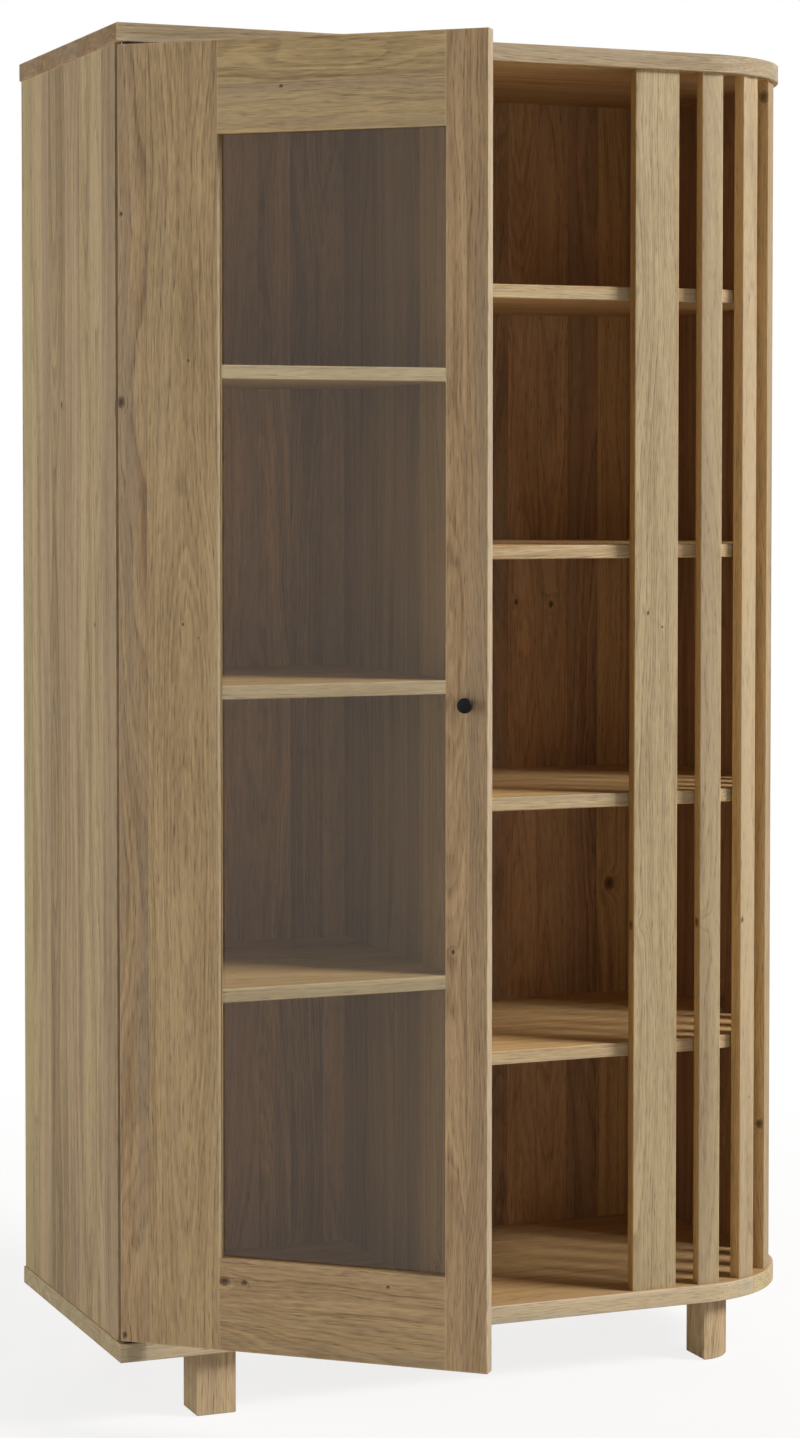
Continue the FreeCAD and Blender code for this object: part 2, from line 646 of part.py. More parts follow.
def hinge_plate(label):
    """A plate whose pin hole is at the origin."""
    body = new_body(label)
    outline = new_sketch(body, label + "_outline")
    near = "(-Dims.plate_width / 2)"
    draw_rectangle(outline, near, near, f"(Dims.plate_length + {near})",
                   "(Dims.plate_width / 2)")
    pad(body, outline, "Dims.plate_thick")
    bore(body, "pin_hole", "XY_Plane", "0", [("0", "0")], PIN_HOLE, "Dims.plate_thick",
         upward=True)
    parts.append(body)
    return body


def pivot_pin(label, z, way):
    """A pin with a collar; way is 1 when its free end points up and -1 when down."""
    body = new_body(label)
    profile = new_sketch(body, label + "_profile", "XZ_Plane")
    pin = "Dims.pivot_diameter / 2"
    collar = "Dims.collar_diameter / 2"
    levels = ["-Dims.pivot_stub", "0", COLLAR_THICK, f"({COLLAR_THICK} + Dims.pivot_stub)"]
    low, seat, rest, high = (f"({way} * {level})" for level in levels)
    draw_outline(profile, [("0", low), (pin, low), (pin, seat), (collar, seat),
                           (collar, rest), (pin, rest), (pin, high), ("0", high)])
    revolve(body, profile)
    place(body, AXIS_X, AXIS_Y, z)
    parts.append(body)


place(hinge_plate("lower_hinge_plate"), AXIS_X, AXIS_Y, f"{FLOOR} - Dims.plate_thick")
place(hinge_plate("upper_hinge_plate"), AXIS_X, AXIS_Y, CEILING)
pivot_pin("lower_pivot_pin", FLOOR, 1)
pivot_pin("upper_pivot_pin", CEILING, -1)
place_on_door(hinge_plate("lower_door_plate"), "Dims.pivot_edge", "Dims.pivot_front", "0")
place_on_door(hinge_plate("upper_door_plate"), "Dims.pivot_edge", "Dims.pivot_front",
              f"({DOOR_HEIGHT} - Dims.plate_thick)")


# --- door frame -------------------------------------------------------------------------
# Two stiles run the whole height; the rails stand between them on loose tenons. A rebate
# at the back takes the glass and the beads that hold it.

RAIL_LENGTH = "(Dims.door_width - Dims.hinge_stile_width - Dims.handle_stile_width)"
HANDLE_LEFT = "(Dims.door_width - Dims.handle_stile_width)"
SIGHT_HEIGHT = f"({DOOR_HEIGHT} - 2 * Dims.rail_width)"
DOOR_MIDDLE = "(Dims.door_thick / 2)"
RAIL_MIDDLE = "(Dims.rail_width / 2)"
RAIL_TENON_BED = "(Dims.rail_tenon_length / 2 + Dims.hole_extra)"


def rail_tenon_bed(body, name, offset, heights, upward):
    sketch = new_sketch(body, f"{body.Name}_{name}", "YZ_Plane", offset)
    for height in heights:
        draw_rectangle(sketch, *around(DOOR_MIDDLE, height, "Dims.rail_tenon_thick",
                                       "Dims.rail_tenon_width"))
    pocket(body, sketch, RAIL_TENON_BED, upward)


def stile(label, width, x, inner, outer_left):
    """A stile from x; inner is the edge that meets the rails, from the stile's corner."""
    body = board(label, width, "Dims.door_thick", DOOR_HEIGHT)
    outer = 0 if outer_left else read(width)
    ease(body, "Dims.arris",
         lambda edge: upright(edge) and abs(edge.CenterOfMass.x - outer) < 0.01)
    rebate = new_sketch(body, label + "_rebate", "XY_Plane",
                        "(Dims.rail_width - Dims.rebate_width)")
    reach = "- Dims.rebate_width" if outer_left else "+ Dims.rebate_width"
    draw_rectangle(rebate, f"({inner} {reach})", "Dims.lip_thick", inner, "Dims.door_thick")
    pocket(body, rebate, f"({SIGHT_HEIGHT} + 2 * Dims.rebate_width)", upward=True)
    rail_tenon_bed(body, "rail_beds", inner, [RAIL_MIDDLE, f"({DOOR_HEIGHT} - {RAIL_MIDDLE})"],
                   upward=not outer_left)
    place_on_door(body, x, "0", "0")
    parts.append(body)
    return body


hinge_stile = stile("hinge_stile", "Dims.hinge_stile_width", "0",
                    "Dims.hinge_stile_width", outer_left=True)
plate_bed(hinge_stile, "foot", "0", "Dims.pivot_edge", "Dims.pivot_front", upward=True)
plate_bed(hinge_stile, "head", DOOR_HEIGHT, "Dims.pivot_edge", "Dims.pivot_front",
          upward=False)

handle_stile = stile("handle_stile", "Dims.handle_stile_width", HANDLE_LEFT, "0",
                     outer_left=False)
KNOB_X = "(Dims.handle_stile_width / 2)"
KNOB_HEIGHT = f"({DOOR_HEIGHT} / 2)"
KNOB_SCREW_HOLE = "(Dims.knob_screw / 2 + Dims.joint_play)"
STRIKE_X = "(Dims.handle_stile_width - Dims.door_lap / 2)"
STRIKE_Z = f"({DOOR_HEIGHT} - Dims.magnet_drop)"
bore(handle_stile, "knob_hole", "XZ_Plane", "0", [(KNOB_X, KNOB_HEIGHT)], KNOB_SCREW_HOLE,
     "Dims.door_thick")
bore(handle_stile, "knob_screw_seat", "XZ_Plane", "-Dims.door_thick", [(KNOB_X, KNOB_HEIGHT)],
     "(Dims.knob_screw_head / 2 + Dims.joint_play)", "Dims.knob_screw_head_thick", upward=True)
bore(handle_stile, "strike_seat", "XZ_Plane", "-Dims.door_thick", [(STRIKE_X, STRIKE_Z)],
     "(Dims.strike_diameter / 2 + Dims.joint_play)", "Dims.strike_thick", upward=True)


def rail(label, z, rebate_low, rebate_high):
    body = board(label, RAIL_LENGTH, "Dims.door_thick", "Dims.rail_width")
    rebate = new_sketch(body, label + "_rebate", "YZ_Plane", "0")
    draw_rectangle(rebate, "Dims.lip_thick", rebate_low, "Dims.door_thick", rebate_high)
    pocket(body, rebate, RAIL_LENGTH, upward=True)
    rail_tenon_bed(body, "left_bed", "0", [RAIL_MIDDLE], upward=True)
    rail_tenon_bed(body, "right_bed", RAIL_LENGTH, [RAIL_MIDDLE], upward=False)
    place_on_door(body, "Dims.hinge_stile_width", "0", z)
    parts.append(body)


rail("bottom_rail", "0", "(Dims.rail_width - Dims.rebate_width)", "Dims.rail_width")
rail("top_rail", f"({DOOR_HEIGHT} - Dims.rail_width)", "0", "Dims.rebate_width")

rail_blocks = []
for x in ("Dims.hinge_stile_width", HANDLE_LEFT):
    for z in (RAIL_MIDDLE, f"({DOOR_HEIGHT} - {RAIL_MIDDLE})"):
        block = doc.addObject("Part::Box", f"rail_tenon_{len(rail_blocks)}")
        block.setExpression("Length", "Dims.rail_tenon_length")
        block.setExpression("Width", "Dims.rail_tenon_thick")
        block.setExpression("Height", "Dims.rail_tenon_width")
        place_on_door(block, f"({x} - Dims.rail_tenon_length / 2)",
                      f"({DOOR_MIDDLE} - Dims.rail_tenon_thick / 2)",
                      f"({z} - Dims.rail_tenon_width / 2)")
        rail_blocks.append(block)
parts.append(group("rail_tenons", rail_blocks))


# --- glass and beads --------------------------------------------------------------------

GLASS_EDGE = "(Dims.rebate_width - Dims.glass_play)"
glass = board("glass_pane", f"({RAIL_LENGTH} + 2 * {GLASS_EDGE})", "Dims.glass_thick",
              f"({SIGHT_HEIGHT} + 2 * {GLASS_EDGE})")
place_on_door(glass, f"(Dims.hinge_stile_width - {GLASS_EDGE})", "Dims.lip_thick",
              f"(Dims.rail_width - {GLASS_EDGE})")
parts.append(glass)

BEAD_FRONT = "(Dims.lip_thick + Dims.glass_thick)"
BEAD_THICK = f"(Dims.door_thick - {BEAD_FRONT})"


def bead(label, length, height, x, z, inner_edge):
    """A strip behind the glass, bevelled along the edge that shows."""
    body = board(label, length, BEAD_THICK, height)
    back = read(BEAD_THICK)
    ease(body, "Dims.bead_bevel",
         lambda edge: abs(edge.CenterOfMass.y - back) < 0.01 and inner_edge(edge))
    place_on_door(body, x, BEAD_FRONT, z)
    parts.append(body)


UPRIGHT_BEAD = f"({SIGHT_HEIGHT} + 2 * Dims.rebate_width)"
BEAD_FOOT = "(Dims.rail_width - Dims.rebate_width)"
bead_width = read("Dims.rebate_width")
bead("left_bead", "Dims.rebate_width", UPRIGHT_BEAD,
     "(Dims.hinge_stile_width - Dims.rebate_width)", BEAD_FOOT,
     lambda edge: upright(edge) and abs(edge.CenterOfMass.x - bead_width) < 0.01)
bead("right_bead", "Dims.rebate_width", UPRIGHT_BEAD, HANDLE_LEFT, BEAD_FOOT,
     lambda edge: upright(edge) and abs(edge.CenterOfMass.x) < 0.01)
bead("bottom_bead", RAIL_LENGTH, "Dims.rebate_width", "Dims.hinge_stile_width", BEAD_FOOT,
     level_at(bead_width))
bead("top_bead", RAIL_LENGTH, "Dims.rebate_width", "Dims.hinge_stile_width",
     f"({DOOR_HEIGHT} - Dims.rail_width)", level_at(0))


# --- knob -------------------------------------------------------------------------------
# A turned knob on the face of the closing stile, held by one screw from behind.

def turned(label, points):
    """A turned piece on an axis that runs into the door, from points of radius and depth."""
    body = new_body(label)
    profile = new_sketch(body, label + "_profile")
    draw_outline(profile, points)
    revolve(body, profile)
    place_on_door(body, f"({HANDLE_LEFT} + {KNOB_X})", "0", KNOB_HEIGHT)
    parts.append(body)


neck = "(Dims.knob_neck / 2)"
head = "(Dims.knob_diameter / 2)"
neck_end = "(Dims.knob_head_thick - Dims.knob_length)"
hole_end = "(-Dims.knob_screw_reach - Dims.hole_extra)"
turned("knob", [(KNOB_SCREW_HOLE, "0"), (neck, "0"), (neck, neck_end),
                (f"({head} - Dims.knob_edge)", neck_end),
                (head, f"({neck_end} - Dims.knob_edge)"),
                (head, "(Dims.knob_edge - Dims.knob_length)"),
                (f"({head} - Dims.knob_edge)", "-Dims.knob_length"),
                ("0", "-Dims.knob_length"), ("0", hole_end), (KNOB_SCREW_HOLE, hole_end)])
screw_seat = "(Dims.door_thick - Dims.knob_screw_head_thick)"
turned("knob_screw", [("0", "-Dims.knob_screw_reach"),
                      ("Dims.knob_screw / 2", "-Dims.knob_screw_reach"),
                      ("Dims.knob_screw / 2", screw_seat),
                      ("Dims.knob_screw_head / 2", screw_seat),
                      ("Dims.knob_screw_head / 2", "Dims.door_thick"),
                      ("0", "Dims.door_thick")])


# --- catch and felt pads ------------------------------------------------------------------
# A magnet in the edge of the divider holds the closed door by a steel disc; two felt
# pads keep the wood apart.

parts.append(rod("door_magnet", "Dims.magnet_diameter / 2", "Dims.magnet_length",
                 f"{LEFT} + {DIVIDER_LEFT} + {CATCH_X}",
                 f"{FRONT} + {EDGE_SETBACK} - Dims.magnet_proud", CATCH_Z, "Y"))
strike = group("strike_disc", [rod("strike_disc_blank", "Dims.strike_diameter / 2",
                                   "Dims.strike_thick", f"{HANDLE_LEFT} + {STRIKE_X}",
                                   "Dims.door_thick - Dims.strike_thick", STRIKE_Z, "Y")])
place_on_door(strike, "0", "0", "0")
parts.append(strike)
pads = []
for z in ("Dims.pad_offset", f"({DOOR_HEIGHT} - Dims.pad_offset)"):
    felt = doc.addObject("Part::Box", f"felt_pad_{len(pads)}")
    felt.setExpression("Length", "Dims.pad_size")
    felt.setExpression("Width", "Dims.pad_thick")
    felt.setExpression("Height", "Dims.pad_size")
    place(felt, f"{DIVIDER_LEFT} + {CATCH_X} - Dims.pad_size / 2",
          f"{EDGE_SETBACK} - Dims.pad_thick", f"{DOOR_FOOT} + {z} - Dims.pad_size / 2")
    pads.append(felt)
parts.append(group("felt_pads", pads))


# --- check and write ----------------------------------------------------------------------

doc.recompute()
for item in doc.Objects:
    if "Invalid" in item.State or "Error" in item.State:
        raise RuntimeError(f"{item.Label} failed: {item.State}")
for item in parts:
    if item.Shape.isNull() or not item.Shape.isValid():
        raise RuntimeError(f"{item.Label} has no valid shape")

os.makedirs("parts", exist_ok=True)
for item in parts:
    item.Shape.exportStep(f"parts/{item.Label}.step")
print(len(parts), "parts written")
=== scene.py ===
import json
import math

import bmesh
import bpy
from mathutils import Matrix, Vector


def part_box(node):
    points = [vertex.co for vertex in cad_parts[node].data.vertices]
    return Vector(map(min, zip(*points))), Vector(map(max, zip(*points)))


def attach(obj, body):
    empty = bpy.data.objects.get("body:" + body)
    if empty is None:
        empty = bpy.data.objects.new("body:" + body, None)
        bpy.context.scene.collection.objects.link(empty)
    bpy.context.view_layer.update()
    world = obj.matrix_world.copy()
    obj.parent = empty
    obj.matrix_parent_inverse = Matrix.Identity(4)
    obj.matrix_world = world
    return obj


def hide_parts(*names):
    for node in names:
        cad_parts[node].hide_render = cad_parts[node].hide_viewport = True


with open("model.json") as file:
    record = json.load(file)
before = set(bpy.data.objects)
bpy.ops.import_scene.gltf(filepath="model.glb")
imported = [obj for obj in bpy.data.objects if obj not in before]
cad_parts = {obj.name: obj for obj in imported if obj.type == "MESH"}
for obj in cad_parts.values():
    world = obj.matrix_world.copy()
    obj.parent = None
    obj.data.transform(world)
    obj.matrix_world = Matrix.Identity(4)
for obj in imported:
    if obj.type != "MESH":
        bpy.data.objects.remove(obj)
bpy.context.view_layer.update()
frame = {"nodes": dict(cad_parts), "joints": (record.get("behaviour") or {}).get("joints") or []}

# --- Legs -------------------------------------------------------------------------------
# Four short legs cut from square oak, the grain upright and the foot bevelled, the front
# right one rounded on its outer corner, and each bolted up into the bottom panel. All the
# oak of the bookcase has the same matt oil, which is made here.

FLOAT, VECTOR, COLOUR = "NodeSocketFloat", "NodeSocketVector", "NodeSocketColor"


def fill(tree, node, inputs):
    """Joins each named input to a socket, or sets it to a value."""
    for key, value in inputs.items():
        if isinstance(value, bpy.types.NodeSocket):
            tree.links.new(value, node.inputs[key])
        else:
            node.inputs[key].default_value = value


def add(tree, kind, inputs=None, **settings):
    """A new node with its settings and inputs."""
    node = tree.nodes.new(kind)
    for name, value in settings.items():
        setattr(node, name, value)
    fill(tree, node, inputs or {})
    return node


def calc(tree, operation, *values, clamp=False):
    """One step of arithmetic between sockets and numbers."""
    return add(tree, "ShaderNodeMath", dict(enumerate(values)), operation=operation,
               use_clamp=clamp).outputs[0]


def plus(tree, total, *others):
    for other in others:
        total = calc(tree, "ADD", total, other)
    return total


def minus(tree, value, other):
    return calc(tree, "SUBTRACT", value, other)


def times(tree, product, *others):
    for other in others:
        product = calc(tree, "MULTIPLY", product, other)
    return product


def vector_calc(tree, operation, *values):
    """The same with vectors. A length or a dot product is a number."""
    node = add(tree, "ShaderNodeVectorMath", dict(enumerate(values)), operation=operation)
    return node.outputs["Value" if operation in ("LENGTH", "DOT_PRODUCT") else "Vector"]


def vector_of(tree, x=0.0, y=0.0, z=0.0):
    return add(tree, "ShaderNodeCombineXYZ", {"X": x, "Y": y, "Z": z}).outputs[0]


def parts_of(tree, vector):
    return add(tree, "ShaderNodeSeparateXYZ", {0: vector}).outputs


def ramp(tree, value, low, high, start=0.0, end=1.0):
    """Runs smoothly from start to end while value goes from low to high."""
    node = add(tree, "ShaderNodeMapRange", interpolation_type="SMOOTHSTEP",
               inputs={"Value": value, "From Min": low, "From Max": high,
                       "To Min": start, "To Max": end})
    return node.outputs["Result"]


def blend_colour(tree, share, first, second, kind="MIX"):
    node = add(tree, "ShaderNodeMix", data_type="RGBA", blend_type=kind)
    fill(tree, node, {0: share, 6: first, 7: second})
    return node.outputs[2]


def cloudy(tree, place, scale, detail=2.0):
    noise = add(tree, "ShaderNodeTexNoise", {"Vector": place, "Scale": scale, "Detail": detail})
    return noise.outputs[0]


def grain_noise(tree, place, scales, detail):
    """Noise about zero, each part of its place scaled by itself, so that it is drawn out
    along the grain."""
    scaled = [times(tree, part, scale) for part, scale in zip(place, scales)]
    noise = add(tree, "ShaderNodeTexNoise", {
        "Vector": vector_of(tree, *scaled), "Scale": 1.0, "Detail": detail, "Roughness": 0.55})
    return minus(tree, noise.outputs[0], 0.5)


def relief(tree, height, strength, depth):
    node = add(tree, "ShaderNodeBump", {"Height": height, "Strength": strength,
                                        "Distance": depth})
    return node.outputs[0]


def new_group(label, inputs, outputs):
    """An empty group of shader nodes, with what comes in and where its results go."""
    group = bpy.data.node_groups.new(label, "ShaderNodeTree")
    for way, sockets in (("INPUT", inputs), ("OUTPUT", outputs)):
        for name, kind in sockets.items():
            group.interface.new_socket(name, in_out=way, socket_type=kind)
    return group, group.nodes.new("NodeGroupInput").outputs, group.nodes.new("NodeGroupOutput")


# A knot: the rings swerve round it, and its heart is dark with rings of its own. Slim
# shrinks distances in the direction that the branch grew.
knot_group, given, result = new_group(
    "oak_knot", {"Board": VECTOR, "Centre": VECTOR, "Slim": VECTOR, "Radius": FLOAT},
    {"Swerve": FLOAT, "Heart": FLOAT})
KNOT_ROUGHNESS, KNOT_FADE, KNOT_SWERVE, KNOT_RINGS = 0.9, 0.32, 2.4, 8.0
offset = vector_calc(knot_group, "SUBTRACT", given["Board"], given["Centre"])
reach = vector_calc(knot_group, "LENGTH",
                    vector_calc(knot_group, "MULTIPLY", offset, given["Slim"]))
uneven = minus(knot_group, cloudy(knot_group, offset, 260.0), 0.5)
distance = plus(knot_group, calc(knot_group, "DIVIDE", reach, given["Radius"]),
                times(knot_group, uneven, KNOT_ROUGHNESS))
fade = calc(knot_group, "EXPONENT",
            times(knot_group, -KNOT_FADE, times(knot_group, distance, distance)))
eye = times(knot_group, calc(knot_group, "SINE", times(knot_group, distance, KNOT_RINGS)), 0.12)
heart = times(knot_group, ramp(knot_group, distance, 0.55, 1.25, 1.0, 0.0),
              plus(knot_group, eye, 0.88))
fill(knot_group, result, {
    "Swerve": times(knot_group, fade, given["Radius"], KNOT_SWERVE), "Heart": heart})

# Rubbed edges: a thin band along the arrises of a board of the given half size.
edge_group, given, result = new_group(
    "rubbed_edges", {"Board": VECTOR, "Half Size": VECTOR, "Width": FLOAT}, {"Mask": FLOAT})
folded = vector_calc(edge_group, "ABSOLUTE", given["Board"])
x, y, z = parts_of(edge_group, vector_calc(edge_group, "SUBTRACT", given["Half Size"], folded))
second_least = calc(edge_group, "MAXIMUM", calc(edge_group, "MINIMUM", x, y),
                    calc(edge_group, "MINIMUM", calc(edge_group, "MAXIMUM", x, y), z))
uneven = ramp(edge_group, cloudy(edge_group, given["Board"], 38.0, 3.0), 0.3, 0.7, 0.35, 1.35)
share = calc(edge_group, "DIVIDE", second_least, times(edge_group, given["Width"], uneven))
fill(edge_group, result, {"Mask": ramp(edge_group, share, 0.25, 1.0, 1.0, 0.0)})

# Oak, sawn from a trunk: growth rings about a pith that lies behind the face, rows of
# open pores in the early wood, fine fibres, and glued staves that each have their own
# tone. Board runs along the grain in X, across it in Y and into the wood in Z.
wood, given, result = new_group(
    "oak_grain",
    {"Board": VECTOR, "Seed": FLOAT, "Stave Width": FLOAT, "Wander": FLOAT,
     "Ring Width": FLOAT, "Figure": FLOAT, "Tone Spread": FLOAT, "Swerve": FLOAT,
     "Heart": FLOAT, "End Grain": FLOAT, "Pale": COLOUR, "Deep": COLOUR, "Grey": COLOUR,
     "Pore": COLOUR},
    {"Colour": COLOUR, "Roughness": FLOAT, "Height": FLOAT})
PITH_NEAR, PITH_RANGE, PITH_ASIDE = 0.024, 0.055, 0.11
SWAY_RATE, LOT_ALONG, LOT_ACROSS = 2.4, 9.0, 3.0
SWEEP_BEND, RIPPLE_BEND, BANDS_PER_METRE = 0.085, 0.009, 120.0
EARLY_LEAST, EARLY_RANGE, MEAN_TONE = 0.35, 0.8, 0.30
PORE_SHARE, HEART_SHARE, SPECK_SHARE, SPECK_SCALE = 0.55, 0.92, 0.85, 5.5
SEAM, SEAM_SHARE = 0.0007, 0.35
REDDER, GREENER = (1.045, 0.975, 1.06, 1.0), (0.975, 1.025, 0.92, 1.0)
HEART_COLOUR = (0.050, 0.024, 0.009, 1.0)

# Each stave has its own lots, which set its tone, its hue and where its trunk's pith lay.
x, y, z = parts_of(wood, given["Board"])
share = calc(wood, "DIVIDE", y, given["Stave Width"])
sway = calc(wood, "SINE", plus(wood, times(wood, share, SWAY_RATE), given["Seed"]))
share = plus(wood, share, 0.5, times(wood, sway, given["Wander"]))
stave = calc(wood, "FLOOR", share)
in_stave = calc(wood, "FRACT", share)
lots = add(wood, "ShaderNodeTexWhiteNoise",
           {"Vector": vector_of(wood, stave, given["Seed"], 3.7)}, noise_dimensions="3D")
tone_lot, hue_lot, grey_lot = add(wood, "ShaderNodeSeparateColor",
                                  {0: lots.outputs["Color"]}).outputs
aside = plus(wood, minus(wood, y, times(wood, stave, given["Stave Width"])),
             times(wood, minus(wood, hue_lot, 0.5), PITH_ASIDE))
behind = plus(wood, z, plus(wood, times(wood, grey_lot, PITH_RANGE), PITH_NEAR))
along = plus(wood, x, times(wood, tone_lot, LOT_ALONG))
across = plus(wood, y, times(wood, hue_lot, LOT_ACROSS))
place = (along, across, z)

# The growth rings: the pale early wood of each year is wider in some years than others.
sweep = grain_noise(wood, place, (1.3, 3.0, 3.0), 1.0)
ripple = grain_noise(wood, place, (7.0, 30.0, 30.0), 2.0)
bend = times(wood, plus(wood, times(wood, sweep, SWEEP_BEND),
                        times(wood, ripple, RIPPLE_BEND)), given["Figure"])
radius = calc(wood, "SQRT", plus(wood, times(wood, aside, aside), times(wood, behind, behind)))
radius = plus(wood, radius, bend, given["Swerve"])
turn = calc(wood, "DIVIDE", radius, given["Ring Width"])
ring = calc(wood, "FRACT", turn)
year = add(wood, "ShaderNodeTexWhiteNoise", {"W": calc(wood, "FLOOR", turn)},
           noise_dimensions="1D").outputs["Value"]
early = times(wood, ramp(wood, ring, 0.0, 0.12), ramp(wood, ring, 0.2, 0.75, 1.0, 0.0))
early = times(wood, early, plus(wood, times(wood, year, EARLY_RANGE), EARLY_LEAST))
bands = add(wood, "ShaderNodeTexNoise", noise_dimensions="1D", inputs={
    "W": plus(wood, times(wood, radius, BANDS_PER_METRE), times(wood, tone_lot, 40.0)),
    "Scale": 1.0, "Detail": 2.0, "Roughness": 0.55})
bands = minus(wood, bands.outputs[0], 0.5)

# The fibres, streaks, flecks and pores, from coarse to fine.
cloud = grain_noise(wood, place, (2.6, 13.0, 13.0), 2.0)
streak = grain_noise(wood, place, (1.6, 46.0, 46.0), 3.0)
fibre = grain_noise(wood, place, (11.0, 340.0, 340.0), 3.0)
fleck = grain_noise(wood, place, (45.0, 420.0, 420.0), 2.0)
pores = grain_noise(wood, place, (52.0, 1150.0, 1150.0), 0.0)
pores = times(wood, ramp(wood, pores, 0.06, 0.26), plus(wood, times(wood, early, 0.6), 0.4))
layers = grain_noise(wood, (y, z), (22.0, 260.0), 3.0)

tone = plus(wood, MEAN_TONE, times(wood, minus(wood, tone_lot, 0.5), given["Tone Spread"]))
for part, weight in ((streak, 1.3), (cloud, 0.9), (bands, 1.0), (fibre, 0.85), (fleck, 0.9),
                     (early, 0.26)):
    tone = plus(wood, tone, times(wood, part, weight))
tone = plus(wood, tone, times(wood, given["End Grain"],
                              plus(wood, times(wood, layers, 1.6), 0.1)))
colour = blend_colour(wood, calc(wood, "MAXIMUM", calc(wood, "MINIMUM", tone, 1.0), 0.0),
                      given["Pale"], given["Deep"])
hue = calc(wood, "ADD", times(wood, minus(wood, hue_lot, 0.5),
                              times(wood, given["Tone Spread"], 1.1)), 0.5, clamp=True)
colour = blend_colour(wood, 1.0, colour, blend_colour(wood, hue, REDDER, GREENER),
                      "MULTIPLY")
greyed = plus(wood, times(wood, streak, -0.8),
              times(wood, minus(wood, grey_lot, 0.5), times(wood, given["Tone Spread"], 0.5)))
colour = blend_colour(wood, ramp(wood, greyed, -0.05, 0.3, 0.0, 0.6), colour, given["Grey"])
colour = blend_colour(wood, times(wood, pores, PORE_SHARE), colour, given["Pore"])
colour = blend_colour(wood, times(wood, given["Heart"], HEART_SHARE), colour, HEART_COLOUR)

# A few dark specks, and the glue line between two staves.
specks = add(wood, "ShaderNodeTexVoronoi", {"Vector": given["Board"], "Scale": SPECK_SCALE},
             feature="F1", distance="EUCLIDEAN")
chosen = add(wood, "ShaderNodeSeparateColor", {0: specks.outputs["Color"]}).outputs[0]
speck = times(wood, ramp(wood, specks.outputs["Distance"], 0.006, 0.014, 1.0, 0.0),
              ramp(wood, chosen, 0.55, 0.6))
colour = blend_colour(wood, times(wood, speck, SPECK_SHARE), colour, given["Pore"])
seam = plus(wood, *(ramp(wood, times(wood, side, given["Stave Width"]), 0.0, SEAM, 1.0, 0.0)
                    for side in (in_stave, minus(wood, 1.0, in_stave))))
colour = blend_colour(wood, times(wood, seam, SEAM_SHARE), colour, given["Pore"])

height = minus(wood, times(wood, fibre, 0.35), times(wood, pores, 0.8))
height = minus(wood, height, times(wood, early, 0.25))
height = minus(wood, height, times(wood, seam, 0.8))
fill(wood, result, {
    "Colour": colour, "Height": height,
    "Roughness": plus(wood, 0.47, times(wood, early, 0.12), times(wood, cloud, 0.2))})

DOOR_ANGLE = -frame["joints"][0]["range_deg"][0]
DOOR_TURN = Matrix.Rotation(math.radians(-DOOR_ANGLE), 3, "Z")
UNTURNED = Matrix.Identity(3)
AXES = {"x": Vector((1, 0, 0)), "y": Vector((0, 1, 0)), "z": Vector((0, 0, 1))}


def board_space(node, along, across, turn=UNTURNED):
    """How the frame turns into a board's own space, with its centre and half size."""
    first, second = turn @ AXES[along], turn @ AXES[across]
    rows = Matrix((first, second, first.cross(second)))
    points = [rows @ v.co for v in frame["nodes"][node].data.vertices]
    low = Vector(min(p[i] for p in points) for i in range(3))
    high = Vector(max(p[i] for p in points) for i in range(3))
    return rows, (low + high) / 2, (high - low) / 2


def new_finish(label):
    """A material, its tree, its shader and a position on the piece that it is used on."""
    material = bpy.data.materials.new(label)
    material.use_nodes = True
    tree = material.node_tree
    place = add(tree, "ShaderNodeTexCoord").outputs["Object"]
    return material, tree, tree.nodes["Principled BSDF"], place


def finish_material(obj, material):
    obj.data.materials.clear()
    obj.data.materials.append(material)


LOT_STEP, RING_WIDTH = 5.0, 0.0032
RUBBED_WIDTH, RUBBED_SHARE, RUBBED_TONE = 0.0022, 0.32, 0.56
BRANCH_OUT_OF_FACE, BRANCH_OUT_OF_EDGE = (0.72, 1.0, 0.25), (0.72, 0.25, 1.0)


